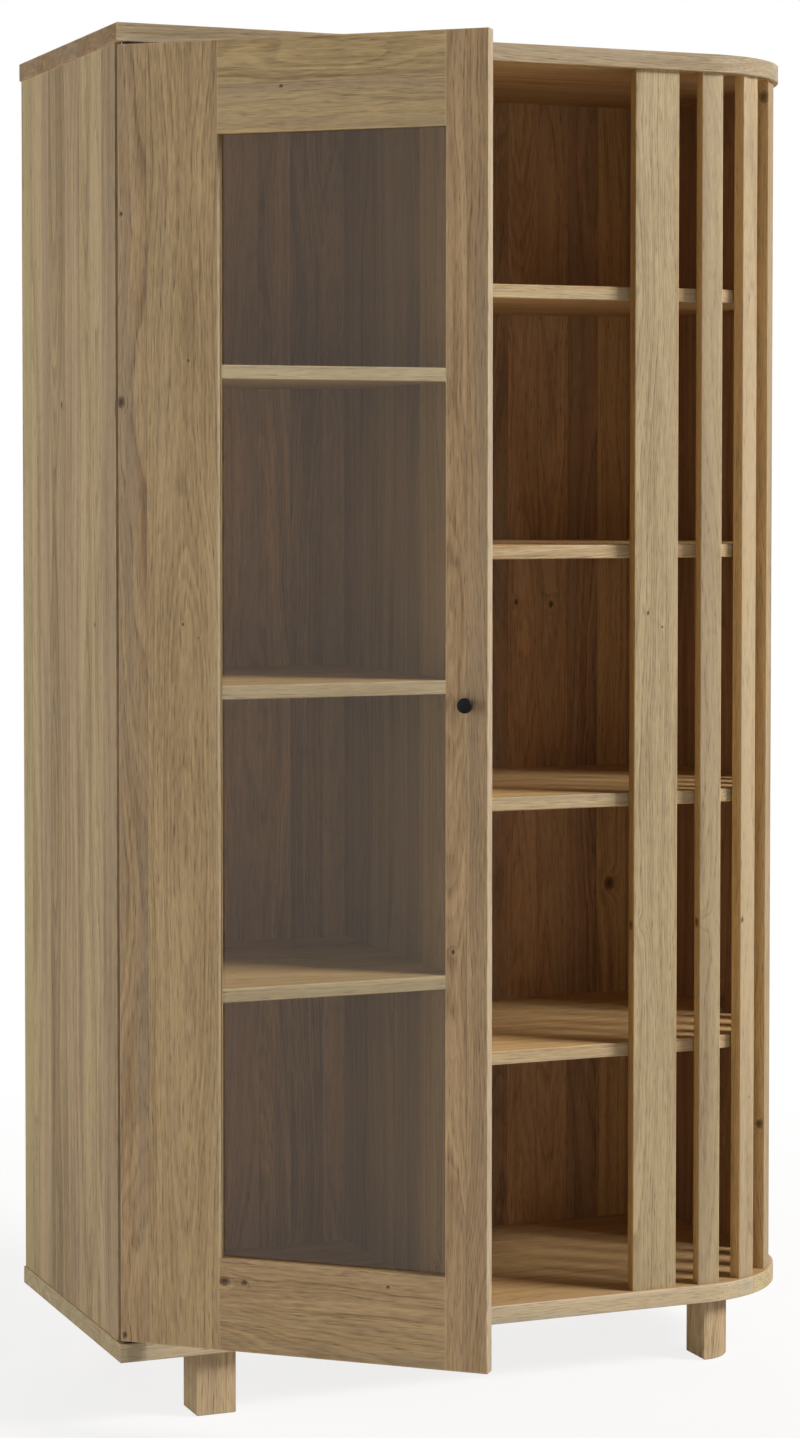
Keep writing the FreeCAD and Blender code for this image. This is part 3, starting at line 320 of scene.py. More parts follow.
def oak(label, along, across, seed, pale, deep, stave=10.0, wander=0.24, knots=(),
        turn=UNTURNED, figure=1.0, spread=0.5, shift=(0, 0, 0), edge=(1, 1, 1), tints=(),
        grey=(0.215, 0.160, 0.115), pore=(0.085, 0.046, 0.022)):
    """Oak for the board of that name, with its grain along one axis, and its own knots,
    each a place in the board's space and a radius. Its faces are sawn flat to the rings
    and its edges across them. The edges are tinted by edge, and the faces that look the
    ways that tints gives by their tints, so that a face is lighter or darker by the way
    it looks: most of these tints are painted light and shade, as noted where they are set.
    Without axes, the board's space, edges and lot number come from attributes of the mesh,
    across is its half size, and each lot's knots lie one LOT_STEP further along."""
    material, tree, shader, place = new_finish(f"oak_{label}")
    if along:
        rows, centre, half = board_space(label, along, across, turn)
        space = add(tree, "ShaderNodeMapping", {
            "Vector": place, "Rotation": rows.to_euler(), "Location": -centre}).outputs[0]
        knot_space = space
    else:
        rows, half = (AXES["z"],), across
        space = add(tree, "ShaderNodeAttribute", attribute_name="board").outputs["Vector"]
        lot = add(tree, "ShaderNodeAttribute", attribute_name="lot").outputs["Fac"]
        seed = plus(tree, lot, seed)
        knot_space = vector_calc(tree, "ADD", space,
                                 vector_of(tree, times(tree, lot, LOT_STEP)))
    swerve = heart = 0.0
    for *middle, size in knots:
        sideways = abs(middle[1]) > 0.98 * half[1]
        knot = add(tree, "ShaderNodeGroup", node_tree=knot_group)
        fill(tree, knot, {"Board": knot_space, "Centre": middle, "Radius": size,
                          "Slim": BRANCH_OUT_OF_EDGE if sideways else BRANCH_OUT_OF_FACE})
        swerve = plus(tree, swerve, knot.outputs["Swerve"])
        heart = calc(tree, "MAXIMUM", heart, knot.outputs["Heart"])
    normal = add(tree, "ShaderNodeNewGeometry").outputs["Normal"]

    def faces(way, low=0.4, high=0.95):
        """1 on the faces that look along this way or against it."""
        facing = vector_calc(tree, "DOT_PRODUCT", normal, way)
        return ramp(tree, calc(tree, "ABSOLUTE", facing), low, high)

    grain = add(tree, "ShaderNodeGroup", node_tree=wood)
    fill(tree, grain, {
        "Board": vector_calc(tree, "ADD", space, shift), "Seed": seed, "Stave Width": stave,
        "Wander": wander, "Ring Width": RING_WIDTH, "Figure": figure, "Tone Spread": spread,
        "Swerve": swerve, "Heart": heart, "End Grain": faces(rows[0]), "Pale": (*pale, 1),
        "Deep": (*deep, 1), "Grey": (*grey, 1), "Pore": (*pore, 1)})
    edges = add(tree, "ShaderNodeGroup", node_tree=edge_group)
    fill(tree, edges, {"Board": space, "Half Size": half, "Width": RUBBED_WIDTH})
    rubbed = edges.outputs["Mask"]
    # The edges take the painted light and shade of edge, and the faces that look the ways of
    # tints take their tints.
    if along:
        edge_shading_mask = minus(tree, 1.0, faces(rows[2], 0.72, 0.97))
    else:
        edge_shading_mask = add(tree, "ShaderNodeAttribute", attribute_name="edge").outputs["Fac"]
    colour = blend_colour(tree, edge_shading_mask, grain.outputs["Colour"], (*edge, 1), "MULTIPLY")
    for way, tint in tints:
        facing = vector_calc(tree, "DOT_PRODUCT", normal, rows.transposed() @ Vector(way))
        colour = blend_colour(tree, ramp(tree, facing, 0.4, 0.95), colour, (*tint, 1),
                              "MULTIPLY")
    worn = [RUBBED_TONE * part * (1 + shade) for part, shade in zip(pale, edge)]
    colour = blend_colour(tree, times(tree, rubbed, RUBBED_SHARE), colour, (*worn, 1))
    fill(tree, shader, {
        "Base Color": colour, "Specular IOR Level": 0.4,
        "Normal": relief(tree, grain.outputs["Height"], 0.35, 0.0006),
        "Roughness": minus(tree, grain.outputs["Roughness"], times(tree, rubbed, 0.1))})
    if along:
        finish_material(frame["nodes"][label], material)
    return material


LEG_PALE, LEG_DEEP = (0.53, 0.402, 0.225), (0.25, 0.171, 0.085)
# The left face of the front right leg is lightened by this tint: painted light on a face that
# stands in shade.
LEFT_FACE, LEFT_FACE_PAINTED_LIGHT = (0, -1, 0), (1.28, 1.36, 1.38)
LEGS = ("front_left", "front_right", "rear_left", "rear_right")
for lot, leg in enumerate(LEGS):
    oak(f"{leg}_leg", "z", "x", 31.0 + lot, LEG_PALE, LEG_DEEP,
        tints=((LEFT_FACE, LEFT_FACE_PAINTED_LIGHT),) if leg == "front_right" else ())

# --- Glides -----------------------------------------------------------------------------
# Square pads of moulded dark polyamide, let into the foot of each leg. The mould leaves
# a fine even texture on them.

polyamide, tree, shader, place = new_finish("moulded_polyamide")
fine = cloudy(tree, place, 1800.0)
fill(tree, shader, {
    "Base Color": blend_colour(tree, ramp(tree, cloudy(tree, place, 60.0), 0.35, 0.7),
                               (0.035, 0.034, 0.033, 1), (0.055, 0.053, 0.05, 1)),
    "Roughness": ramp(tree, fine, 0.3, 0.7, 0.5, 0.7),
    "Normal": relief(tree, fine, 0.3, 0.0002)})
for leg in LEGS:
    finish_material(frame["nodes"][f"{leg}_glide"], polyamide)

# --- Leg bolts --------------------------------------------------------------------------
# Zinc-plated steel hanger bolts, 8 mm thick, one up through the middle of each leg into
# the bottom panel. They are hidden once the legs are on.


def bright_metal(label, dull, bright, grain_scale, rough_low, rough_high):
    """Metal with fine drawn lines along Z and a few dull patches."""
    material, tree, shader, place = new_finish(label)
    drawn = add(tree, "ShaderNodeMapping", {
        "Vector": place, "Scale": (grain_scale, grain_scale, grain_scale / 30)}).outputs[0]
    lines = cloudy(tree, drawn, 1.0)
    patches = ramp(tree, cloudy(tree, place, 90.0), 0.3, 0.72)
    fill(tree, shader, {
        "Base Color": blend_colour(tree, patches, (*dull, 1), (*bright, 1)),
        "Metallic": 1.0,
        "Roughness": plus(tree, ramp(tree, lines, 0.3, 0.7, rough_low, rough_high),
                          times(tree, patches, -0.08)),
        "Normal": relief(tree, lines, 0.25, 0.0001)})
    return material


zinc = bright_metal("zinc_plated_steel", (0.42, 0.41, 0.38), (0.62, 0.61, 0.58), 2400.0,
                    0.28, 0.42)
finish_material(frame["nodes"]["leg_bolts"], zinc)

# --- Bottom and top panel ---------------------------------------------------------------
# Solid panels glued up from staves that run the length of the case. Their front right
# corner is sawn round, so the end grain comes to the surface along the curve.

BOTTOM_PALE, BOTTOM_DEEP = (0.585, 0.380, 0.181), (0.39, 0.236, 0.097)
TOP_PALE, TOP_DEEP = (0.62, 0.385, 0.175), (0.36, 0.205, 0.078)
PANEL_STAVE, PANEL_SPREAD = 0.09, 0.3
# Painted light: the top panel's round right end is tinted paler and yellower, as a face that the
# lamps light strongly. The panels' edges are tinted by edge as painted light and shade, the
# bottom's front edge paler.
LEFT_END, LEFT_END_TINT = (-1, 0, 0), (0.98, 0.87, 0.82)
RIGHT_END, RIGHT_END_PAINTED_LIGHT = (1, 0, 0), (1.12, 1.30, 1.58)
oak("bottom_panel", "x", "y", 4.0, BOTTOM_PALE, BOTTOM_DEEP, stave=PANEL_STAVE,
    spread=PANEL_SPREAD, edge=(1.03, 1.29, 1.68))
oak("top_panel", "x", "y", 9.0, TOP_PALE, TOP_DEEP, stave=PANEL_STAVE, spread=PANEL_SPREAD,
    edge=(0.74, 0.92, 1.25),
    tints=((LEFT_END, LEFT_END_TINT), (RIGHT_END, RIGHT_END_PAINTED_LIGHT)))

# --- Side panels and divider ------------------------------------------------------------
# Upright boards glued up from narrow staves that differ in tone, held between the panels
# by loose tenons of beech.

SIDE_PALE, SIDE_DEEP = (0.545, 0.415, 0.230), (0.265, 0.187, 0.103)
DIVIDER_PALE, DIVIDER_DEEP = (0.54, 0.385, 0.213), (0.262, 0.173, 0.096)
# The inner face of the right side is tinted redder and darker: painted warm shade from light
# bounced inside the case.
INNER_FACE, INNER_FACE_PAINTED_SHADE = (0, 0, 1), (0.95, 0.75, 0.76)
oak("left_side", "z", "y", 133.0, SIDE_PALE, SIDE_DEEP, stave=0.048, wander=0.25, figure=0.6,
    spread=0.75, knots=((0.3716, 0.0225, 0.012, 0.004), (0.0866, -0.1262, 0.012, 0.0025)))
oak("divider", "z", "y", 14.0, DIVIDER_PALE, DIVIDER_DEEP, stave=0.06, figure=0.6,
    knots=((-0.7824, -0.1369, -0.012, 0.006),))
oak("right_side", "z", "y", 17.0, SIDE_PALE, SIDE_DEEP, stave=0.062, figure=0.6, spread=0.75,
    tints=((INNER_FACE, INNER_FACE_PAINTED_SHADE),))
BEECH_PALE, BEECH_DEEP = (0.60, 0.46, 0.31), (0.44, 0.31, 0.19)
oak("loose_tenons", "z", "x", 19.0, BEECH_PALE, BEECH_DEEP, spread=0.1)

# --- Back panel -------------------------------------------------------------------------
# A thinner panel, glued up from upright staves of a darker, redder oak; part of that
# red-orange cast is painted warm shade, standing for light bounced about inside the case.
# It stands in a groove that runs all round the case, close to the rear edges.

BACK_PALE, BACK_DEEP = (0.645, 0.379, 0.179), (0.275, 0.151, 0.067)
REAR_FACE, REAR_FACE_TINT = (0, 0, 1), (0.95, 1.12, 1.3)
oak("back_panel", "z", "x", 110.0, BACK_PALE, BACK_DEEP, stave=0.048, wander=0.0,
    shift=(0, -0.009, 0), spread=0.75, grey=(0.31, 0.215, 0.125), pore=(0.04, 0.018, 0.008),
    tints=((REAR_FACE, REAR_FACE_TINT),),
    knots=((-0.3229, 0.3897, -0.006, 0.008), (0.0913, 0.2946, -0.006, 0.004),
           (0.095, 0.2385, -0.006, 0.003)))

# --- Shelves ----------------------------------------------------------------------------
# Oak boards let into housings in the sides and the divider. The right ones turn with the
# corner behind the slats.

LEFT_SHELF_PALE, LEFT_SHELF_DEEP = (0.62, 0.435, 0.217), (0.37, 0.225, 0.095)
RIGHT_SHELF_PALE, RIGHT_SHELF_DEEP = (0.70, 0.46, 0.210), (0.42, 0.240, 0.092)
# The shelves' edges are tinted less orange than their tops: painted light on the front edges.
SHELF_FINISH = {"stave": 0.11, "spread": 0.3, "edge": (0.82, 0.93, 1.17),
                "grey": (0.31, 0.215, 0.118)}
for lot in range(1, 4):
    oak(f"left_shelf_{lot}", "x", "y", 40.0 + lot, LEFT_SHELF_PALE, LEFT_SHELF_DEEP,
        **SHELF_FINISH)
for lot in range(1, 5):
    oak(f"right_shelf_{lot}", "x", "y", 45.0 + lot, RIGHT_SHELF_PALE, RIGHT_SHELF_DEEP,
        **SHELF_FINISH)

# --- Slats ------------------------------------------------------------------------------
# A wide slat stands on the straight front. The narrow ones are planed with soft arrises
# and turn round the corner at an even step, each let into both panels.

scene = bpy.context.scene
SLAT_PALE, SLAT_DEEP = (0.467, 0.352, 0.206), (0.238, 0.162, 0.087)
CORNER_PALE, CORNER_DEEP = (0.441, 0.332, 0.195), (0.270, 0.187, 0.103)
# The wide slat's sides are tinted a deeper orange: painted warm shade.
oak("wide_slat", "z", "x", 52.0, SLAT_PALE, SLAT_DEEP, edge=(1.15, 0.92, 0.57),
    grey=(0.29, 0.215, 0.135),
    knots=((0.0948, -0.0123, -0.008, 0.0022), (0.0758, 0.0086, -0.008, 0.0016),
           (-0.324, -0.0325, 0.0, 0.005)))

NARROW_SLATS = [f"corner_slat_{lot}" for lot in range(1, 5)]
SLAT_WIDTH, SLAT_THICK, SLAT_ARRIS = 0.032, 0.016, 0.0012
CORNER_CENTRE, FACE_RADIUS = Vector((0.33, -0.055, 0)), 0.164
FIRST_ANGLE, STEP_ANGLE = math.radians(2), math.radians(24)
slat_low, slat_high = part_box(NARROW_SLATS[0])
slat_height = slat_high.z - slat_low.z


def new_tree(label, inputs):
    """An empty tree of geometry nodes, with its inputs and where its result goes."""
    tree = bpy.data.node_groups.new(label, "GeometryNodeTree")
    tree.is_modifier = True
    tree.interface.new_socket("Geometry", in_out="INPUT", socket_type="NodeSocketGeometry")
    for name, kind in inputs.items():
        tree.interface.new_socket(name, in_out="INPUT", socket_type=kind)
    tree.interface.new_socket("Geometry", in_out="OUTPUT", socket_type="NodeSocketGeometry")
    return tree, tree.nodes.new("NodeGroupInput").outputs, tree.nodes.new("NodeGroupOutput")


def grown(label, tree, values, spots=()):
    """The plain mesh that a tree makes from its inputs, and from the spots if it has any.
    Each spot is a point and the way that its copy faces."""
    seed = bpy.data.meshes.new(f"{label}_spots")
    seed.from_pydata([point for point, _ in spots], [], [])
    facing = seed.attributes.new("facing", "FLOAT_VECTOR", "POINT")
    for item, (_, way) in zip(facing.data, spots):
        item.vector = way
    piece = bpy.data.objects.new(label, seed)
    scene.collection.objects.link(piece)
    modifier = piece.modifiers.new("grown", "NODES")
    modifier.node_group = tree
    for socket in tree.interface.items_tree:
        if socket.in_out == "INPUT" and socket.name in values:
            modifier[socket.identifier] = values[socket.name]
    found = bpy.context.evaluated_depsgraph_get()
    plain = bpy.data.meshes.new_from_object(piece.evaluated_get(found),
                                            preserve_all_data_layers=True, depsgraph=found)
    piece.modifiers.remove(modifier)
    piece.data = plain
    return piece


def marked(tree, geometry, name, value, domain, kind="FLOAT"):
    """The geometry with a value stored on it under that name."""
    return add(tree, "GeometryNodeStoreNamedAttribute",
               {"Geometry": geometry, "Name": name, "Value": value},
               data_type=kind, domain=domain).outputs[0]


def finish_tree(tree, given, result, copies):
    """Ends a tree: the copies become real meshes and get their finish."""
    real = add(tree, "GeometryNodeRealizeInstances", {0: copies})
    finished = add(tree, "GeometryNodeSetMaterial",
                   {"Geometry": real.outputs[0], "Material": given["Finish"]})
    tree.links.new(finished.outputs[0], result.inputs[0])


screen, given, result = new_tree("slat_screen", {
    "Count": "NodeSocketInt", "Centre": VECTOR, "Radius": FLOAT, "First Angle": FLOAT,
    "Step Angle": FLOAT, "Width": FLOAT, "Thickness": FLOAT, "Height": FLOAT,
    "Arris": FLOAT, "Finish": "NodeSocketMaterial"})
outline = add(screen, "GeometryNodeCurvePrimitiveQuadrilateral",
              {"Width": given["Width"], "Height": given["Thickness"]})
softened = add(screen, "GeometryNodeFilletCurve",
               {"Curve": outline.outputs[0], "Radius": given["Arris"], "Count": 3}, mode="POLY")
stem = add(screen, "GeometryNodeCurvePrimitiveLine",
           {"End": vector_of(screen, z=given["Height"])})
bar = add(screen, "GeometryNodeCurveToMesh",
          {"Curve": stem.outputs[0], "Profile Curve": softened.outputs[0], "Fill Caps": True})
x, y, z = parts_of(screen, add(screen, "GeometryNodeInputPosition").outputs[0])
board = vector_of(screen, minus(screen, z, times(screen, given["Height"], 0.5)), x, y)
bar = marked(screen, bar.outputs[0], "board", board, "POINT", "FLOAT_VECTOR")
sideways = parts_of(screen, add(screen, "GeometryNodeInputNormal").outputs[0])["X"]
bar = marked(screen, bar, "edge",
             ramp(screen, calc(screen, "ABSOLUTE", sideways), 0.4, 0.95), "CORNER")
index = add(screen, "GeometryNodeInputIndex").outputs[0]
angle = plus(screen, given["First Angle"], times(screen, index, given["Step Angle"]))
arm = vector_of(screen, calc(screen, "SINE", angle),
                times(screen, calc(screen, "COSINE", angle), -1.0))
arm = add(screen, "ShaderNodeVectorMath", {0: arm, "Scale": given["Radius"]},
          operation="SCALE").outputs["Vector"]
feet = add(screen, "GeometryNodePoints", {
    "Count": given["Count"],
    "Position": vector_calc(screen, "ADD", given["Centre"], arm)})
slats = add(screen, "GeometryNodeInstanceOnPoints", {
    "Points": feet.outputs[0], "Instance": bar, "Rotation": vector_of(screen, z=angle)})
slats = marked(screen, slats.outputs[0], "lot",
               add(screen, "GeometryNodeInputIndex").outputs[0], "INSTANCE")
finish_tree(screen, given, result, slats)

slat_half = (slat_height / 2, SLAT_WIDTH / 2, SLAT_THICK / 2)
# The narrow slats' sides are tinted paler and warmer: painted light on the sides that face the
# front.
slat_oak = oak(
    "corner_slats", None, slat_half, 174.0, CORNER_PALE, CORNER_DEEP, spread=0.6,
    grey=(0.33, 0.246, 0.155), edge=(1.36, 1.21, 0.88),
    knots=((-0.3248, -0.016, 0.0, 0.005),
           (LOT_STEP - 0.326, -0.0125, -0.008, 0.0031),
           (LOT_STEP - 0.571, 0.005, -0.008, 0.0012),
           (2 * LOT_STEP + 0.7954, -0.016, -0.001, 0.0065),
           (2 * LOT_STEP - 0.616, -0.016, -0.001, 0.005)))
corner_slats = grown("corner_slats", screen, {
    "Count": len(NARROW_SLATS), "Centre": CORNER_CENTRE + Vector((0, 0, slat_low.z)),
    "Radius": FACE_RADIUS - SLAT_THICK / 2, "First Angle": FIRST_ANGLE,
    "Step Angle": STEP_ANGLE, "Width": SLAT_WIDTH, "Thickness": SLAT_THICK,
    "Height": slat_height, "Arris": SLAT_ARRIS, "Finish": slat_oak})
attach(corner_slats, "case")
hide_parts(*NARROW_SLATS)

# --- Pivot hinges -----------------------------------------------------------------------
# Four plates of blackened steel let in flush, in the panels and in the ends of the hinge
# stile, each held by two small countersunk screws. A turned steel pin with a collar joins
# each pair and carries the door.

blackened, tree, shader, place = new_finish("blackened_steel")
mottle = ramp(tree, cloudy(tree, place, 160.0, 4.0), 0.3, 0.7)
fine = cloudy(tree, place, 2600.0)
fill(tree, shader, {
    "Base Color": blend_colour(tree, mottle, (0.032, 0.028, 0.025, 1), (0.076, 0.070, 0.064, 1)),
    "Metallic": 0.85, "Roughness": ramp(tree, fine, 0.3, 0.7, 0.52, 0.66),
    "Normal": relief(tree, fine, 0.2, 0.0001)})
pin_steel = bright_metal("turned_steel", (0.10, 0.098, 0.095), (0.17, 0.165, 0.16), 3000.0,
                         0.24, 0.36)
for level in ("lower", "upper"):
    finish_material(frame["nodes"][f"{level}_hinge_plate"], blackened)
    finish_material(frame["nodes"][f"{level}_door_plate"], blackened)
    finish_material(frame["nodes"][f"{level}_pivot_pin"], pin_steel)

# A countersunk head: a low disc with a cross recess sunk into it.
screws, given, result = new_tree("countersunk_screws", {
    "Head": FLOAT, "Sunk": FLOAT, "Cross": FLOAT, "Finish": "NodeSocketMaterial"})
disc = add(screws, "GeometryNodeMeshCylinder",
           {"Vertices": 32, "Radius": given["Head"], "Depth": given["Sunk"]})
star = add(screws, "GeometryNodeCurveStar", {
    "Points": 4, "Outer Radius": given["Cross"],
    "Inner Radius": times(screws, given["Cross"], 0.3)})
stroke = add(screws, "GeometryNodeCurvePrimitiveLine",
             {"End": vector_of(screws, z=given["Sunk"])})
driver = add(screws, "GeometryNodeCurveToMesh", {
    "Curve": stroke.outputs[0], "Profile Curve": star.outputs[0], "Fill Caps": True})
crossed = add(screws, "GeometryNodeMeshBoolean",
              {"Mesh 1": disc.outputs[0], "Mesh 2": driver.outputs[0]},
              operation="DIFFERENCE")


def set_on_spots(tree, given, result, head):
    """Ends a tree with a copy of the head on every spot, turned to face as the spot does."""
    turned = add(tree, "FunctionNodeAlignRotationToVector", {
        "Vector": add(tree, "GeometryNodeInputNamedAttribute", {"Name": "facing"},
                      data_type="FLOAT_VECTOR").outputs[0]}, axis="Z")
    copies = add(tree, "GeometryNodeInstanceOnPoints", {
        "Points": given["Geometry"], "Instance": head.outputs[0],
        "Rotation": turned.outputs[0]})
    finish_tree(tree, given, result, copies.outputs[0])


set_on_spots(screws, given, result, crossed)
SCREW_HEAD = {"Head": 0.0024, "Sunk": 0.0008, "Cross": 0.0015, "Finish": pin_steel}
SCREW_PLACES, SCREW_DEPTH = (-0.08, 0.62), 0.00035


def plate_spots(node, face, turn):
    """Two spots along a plate, on its outer face, which is its top (1) or underside (-1)."""
    rows, centre, half = board_space(node, "x", "y", turn)
    level = face * (half.z - SCREW_DEPTH)
    return [(rows.transposed() @ (centre + Vector((share * half.x, 0, level))),
             Vector((0, 0, face))) for share in SCREW_PLACES]


for body, name, spots in (
        ("case", "case_plate_screws", plate_spots("lower_hinge_plate", 1, UNTURNED)
         + plate_spots("upper_hinge_plate", -1, UNTURNED)),
        ("door", "door_plate_screws", plate_spots("lower_door_plate", -1, DOOR_TURN)
         + plate_spots("upper_door_plate", 1, DOOR_TURN))):
    plate_screws = grown(name, screws, SCREW_HEAD, spots)
    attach(plate_screws, body)

# --- Door frame -------------------------------------------------------------------------
# Two full-height stiles with the grain upright and two rails with the grain level, glued
# on loose tenons and rebated at the back for the glass.

DOOR_PALE, DOOR_DEEP = (0.57, 0.39, 0.20), (0.265, 0.163, 0.075)
HINGE_STILE_PALE, HINGE_STILE_DEEP = (0.57, 0.402, 0.203), (0.27, 0.171, 0.079)
TOP_RAIL_PALE, TOP_RAIL_DEEP = (0.655, 0.476, 0.24), (0.315, 0.21, 0.097)
ONE_STAVE = {"turn": DOOR_TURN, "stave": 0.1, "wander": 0.0}
STILE_PORE = (0.035, 0.019, 0.009)
oak("hinge_stile", "z", "x", 172.0, HINGE_STILE_PALE, HINGE_STILE_DEEP, **ONE_STAVE,
    shift=(0, -0.022, 0), spread=0.32, figure=1.0, edge=(0.80, 0.92, 1.23), pore=STILE_PORE,
    knots=((0.3699, -0.0628, -0.009, 0.0055), (0.6041, -0.0621, -0.009, 0.0024),
           (-0.8064, -0.061, -0.009, 0.0035), (0.4204, 0.0279, -0.009, 0.0015),
           (0.0928, 0.0198, -0.009, 0.0017), (0.076, 0.0412, -0.009, 0.0012)))
# The handle stile's edges are tinted paler and yellower: painted light on its free edge.
oak("handle_stile", "z", "x", 81.0, DOOR_PALE, DOOR_DEEP, **ONE_STAVE,
    shift=(0, 0.05, 0), spread=0.5, figure=1.2, edge=(1.04, 1.22, 1.53), pore=STILE_PORE,
    knots=((-0.3005, -0.0173, -0.009, 0.0022),))
oak("top_rail", "x", "z", 84.0, TOP_RAIL_PALE, TOP_RAIL_DEEP, **ONE_STAVE,
    shift=(0, 0.048, 0), spread=0.4, figure=1.3, knots=((-0.064, -0.0023, 0.009, 0.0022),))
oak("bottom_rail", "x", "z", 150.0, DOOR_PALE, DOOR_DEEP, **ONE_STAVE,
    shift=(0, 0.052, 0), spread=0.4, figure=1.3,
    knots=((-0.141, 0.0298, 0.009, 0.006), (-0.1145, 0.0298, 0.009, 0.0035),
           (0.0744, 0.0395, 0.009, 0.0018)))
oak("rail_tenons", "x", "z", 69.0, BEECH_PALE, BEECH_DEEP, spread=0.1, turn=DOOR_TURN)

# --- Glass ------------------------------------------------------------------------------
# One pane of lightly smoked float glass, 4 mm thick, with ground edges. It lies in the
# rebate at the back of the door frame.

glass, tree, shader, place = new_finish("smoked_glass")
smear = cloudy(tree, place, 6.0, 3.0)
fill(tree, shader, {
    "Base Color": blend_colour(tree, smear, (0.893, 0.886, 0.80, 1), (0.923, 0.916, 0.83, 1)),
    "Roughness": 0.0, "Transmission Weight": 1.0, "IOR": 1.58})
clear = add(tree, "ShaderNodeBsdfTransparent", {"Color": (0.82, 0.81, 0.77, 1)})
through = add(tree, "ShaderNodeMixShader", {
    0: add(tree, "ShaderNodeLightPath").outputs["Is Shadow Ray"],
    1: shader.outputs[0], 2: clear.outputs[0]})
tree.links.new(through.outputs[0], tree.nodes["Material Output"].inputs["Surface"])
finish_material(frame["nodes"]["glass_pane"], glass)

# --- Glazing beads ----------------------------------------------------------------------
# Small square strips behind the glass, bevelled along the edge that shows and held by
# fine brads every 150 mm or so.

BEAD_PALE, BEAD_DEEP = (0.37, 0.26, 0.14), (0.18, 0.115, 0.055)
BEADS = (("left_bead", "z", "x", 0.15), ("right_bead", "z", "x", 0.15),
         ("top_bead", "x", "z", 0.12), ("bottom_bead", "x", "z", 0.12))
for lot, (bead, along, across, _) in enumerate(BEADS):
    oak(bead, along, across, 65.0 + lot, BEAD_PALE, BEAD_DEEP, turn=DOOR_TURN)

brads, given, result = new_tree("brad_heads", {
    "Head": FLOAT, "Thickness": FLOAT, "Finish": "NodeSocketMaterial"})
set_on_spots(brads, given, result, add(brads, "GeometryNodeMeshCylinder", {
    "Vertices": 12, "Radius": given["Head"], "Depth": given["Thickness"]}))
BRAD_FROM_END, BRAD_DEPTH = 0.04, 0.0002
inwards = DOOR_TURN @ Vector((0, 1, 0))
spots = []
for bead, along, across, spacing in BEADS:
    rows, centre, half = board_space(bead, along, across, DOOR_TURN)
    reach = half.x - BRAD_FROM_END
    count = max(2, round(2 * reach / spacing) + 1)
    for step in range(count):
        middle = centre + Vector((reach * (2 * step / (count - 1) - 1), 0, 0))
        spots.append((rows.transposed() @ middle + inwards * (half.z - BRAD_DEPTH), inwards))
bead_brads = grown("bead_brads", brads,
                   {"Head": 0.0008, "Thickness": 0.0005, "Finish": pin_steel}, spots)
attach(bead_brads, "door")

# --- Knob -------------------------------------------------------------------------------
# A small turned knob, black powder coat over metal, with rounded rims and a face that is
# barely domed. One screw holds it from behind the stile.

powder, tree, shader, place = new_finish("black_powder_coat")
fine = cloudy(tree, place, 1500.0)
fill(tree, shader, {
    "Base Color": blend_colour(tree, ramp(tree, cloudy(tree, place, 220.0), 0.3, 0.7),
                               (0.005, 0.005, 0.005, 1), (0.010, 0.0095, 0.009, 1)),
    "Roughness": ramp(tree, fine, 0.3, 0.7, 0.42, 0.58), "Specular IOR Level": 0.35,
    "Normal": relief(tree, fine, 0.25, 0.00015)})
KNOB_PROFILE = (  # millimetres: radius, and distance from the face of the door
    (0, 0), (4.7, 0), (5.0, 0.3), (5.0, 4.6), (5.12, 5.05), (5.45, 5.38), (5.9, 5.5),
    (8.45, 5.5), (8.8, 5.6), (9.08, 5.86), (9.25, 6.3), (9.25, 10.9), (9.2, 11.2),
    (9.02, 11.48), (8.72, 11.66), (8.3, 11.74), (6.0, 11.87), (3.0, 11.97), (0, 12.0))
KNOB_SIDES = 72
rows, centre, half = board_space("knob", "z", "x", DOOR_TURN)
axis_point = Vector((centre.x, centre.y, centre.z + half.z))
points, faces = [], []
for radius, reach in KNOB_PROFILE:
    for side in range(KNOB_SIDES if radius else 1):
        turn = math.tau * side / KNOB_SIDES
        points.append(rows.transposed() @ (axis_point + Vector(
            (radius * math.cos(turn), radius * math.sin(turn), -reach)) / 1000))
last = len(points) - 1
for side in range(KNOB_SIDES):
    following = (side + 1) % KNOB_SIDES
    faces.append((0, 1 + side, 1 + following))
    for band in range(len(KNOB_PROFILE) - 3):
        near, far = 1 + band * KNOB_SIDES, 1 + (band + 1) * KNOB_SIDES
        faces.append((near + side, far + side, far + following, near + following))
    faces.append((last - KNOB_SIDES + side, last, last - KNOB_SIDES + following))
mesh = bpy.data.meshes.new("door_knob")
mesh.from_pydata(points, [], faces)
shape = bmesh.new()
shape.from_mesh(mesh)
bmesh.ops.recalc_face_normals(shape, faces=shape.faces)
shape.to_mesh(mesh)
shape.free()
mesh.shade_smooth()
door_knob = bpy.data.objects.new("door_knob", mesh)
scene.collection.objects.link(door_knob)
finish_material(door_knob, powder)
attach(door_knob, "door")
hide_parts("knob")
finish_material(frame["nodes"]["knob_screw"], zinc)

# --- Catch and felt pads ----------------------------------------------------------------
# A nickel-plated magnet in the edge of the divider holds the door by a thin steel disc.
# Two pads of grey wool felt keep wood from knocking on wood.

nickel = bright_metal("nickel_plate", (0.50, 0.48, 0.45), (0.66, 0.64, 0.60), 1600.0, 0.2, 0.3)
finish_material(frame["nodes"]["door_magnet"], nickel)
finish_material(frame["nodes"]["strike_disc"], zinc)
felt, tree, shader, place = new_finish("wool_felt")
hairs = cloudy(tree, place, 1400.0, 4.0)
fill(tree, shader, {
    "Base Color": blend_colour(tree, ramp(tree, hairs, 0.35, 0.65),
                               (0.10, 0.092, 0.085, 1), (0.22, 0.205, 0.19, 1)),
    "Roughness": ramp(tree, hairs, 0.3, 0.7, 0.85, 1.0), "Sheen Weight": 0.4,
    "Normal": relief(tree, hairs, 0.9, 0.0006)})
finish_material(frame["nodes"]["felt_pads"], felt)

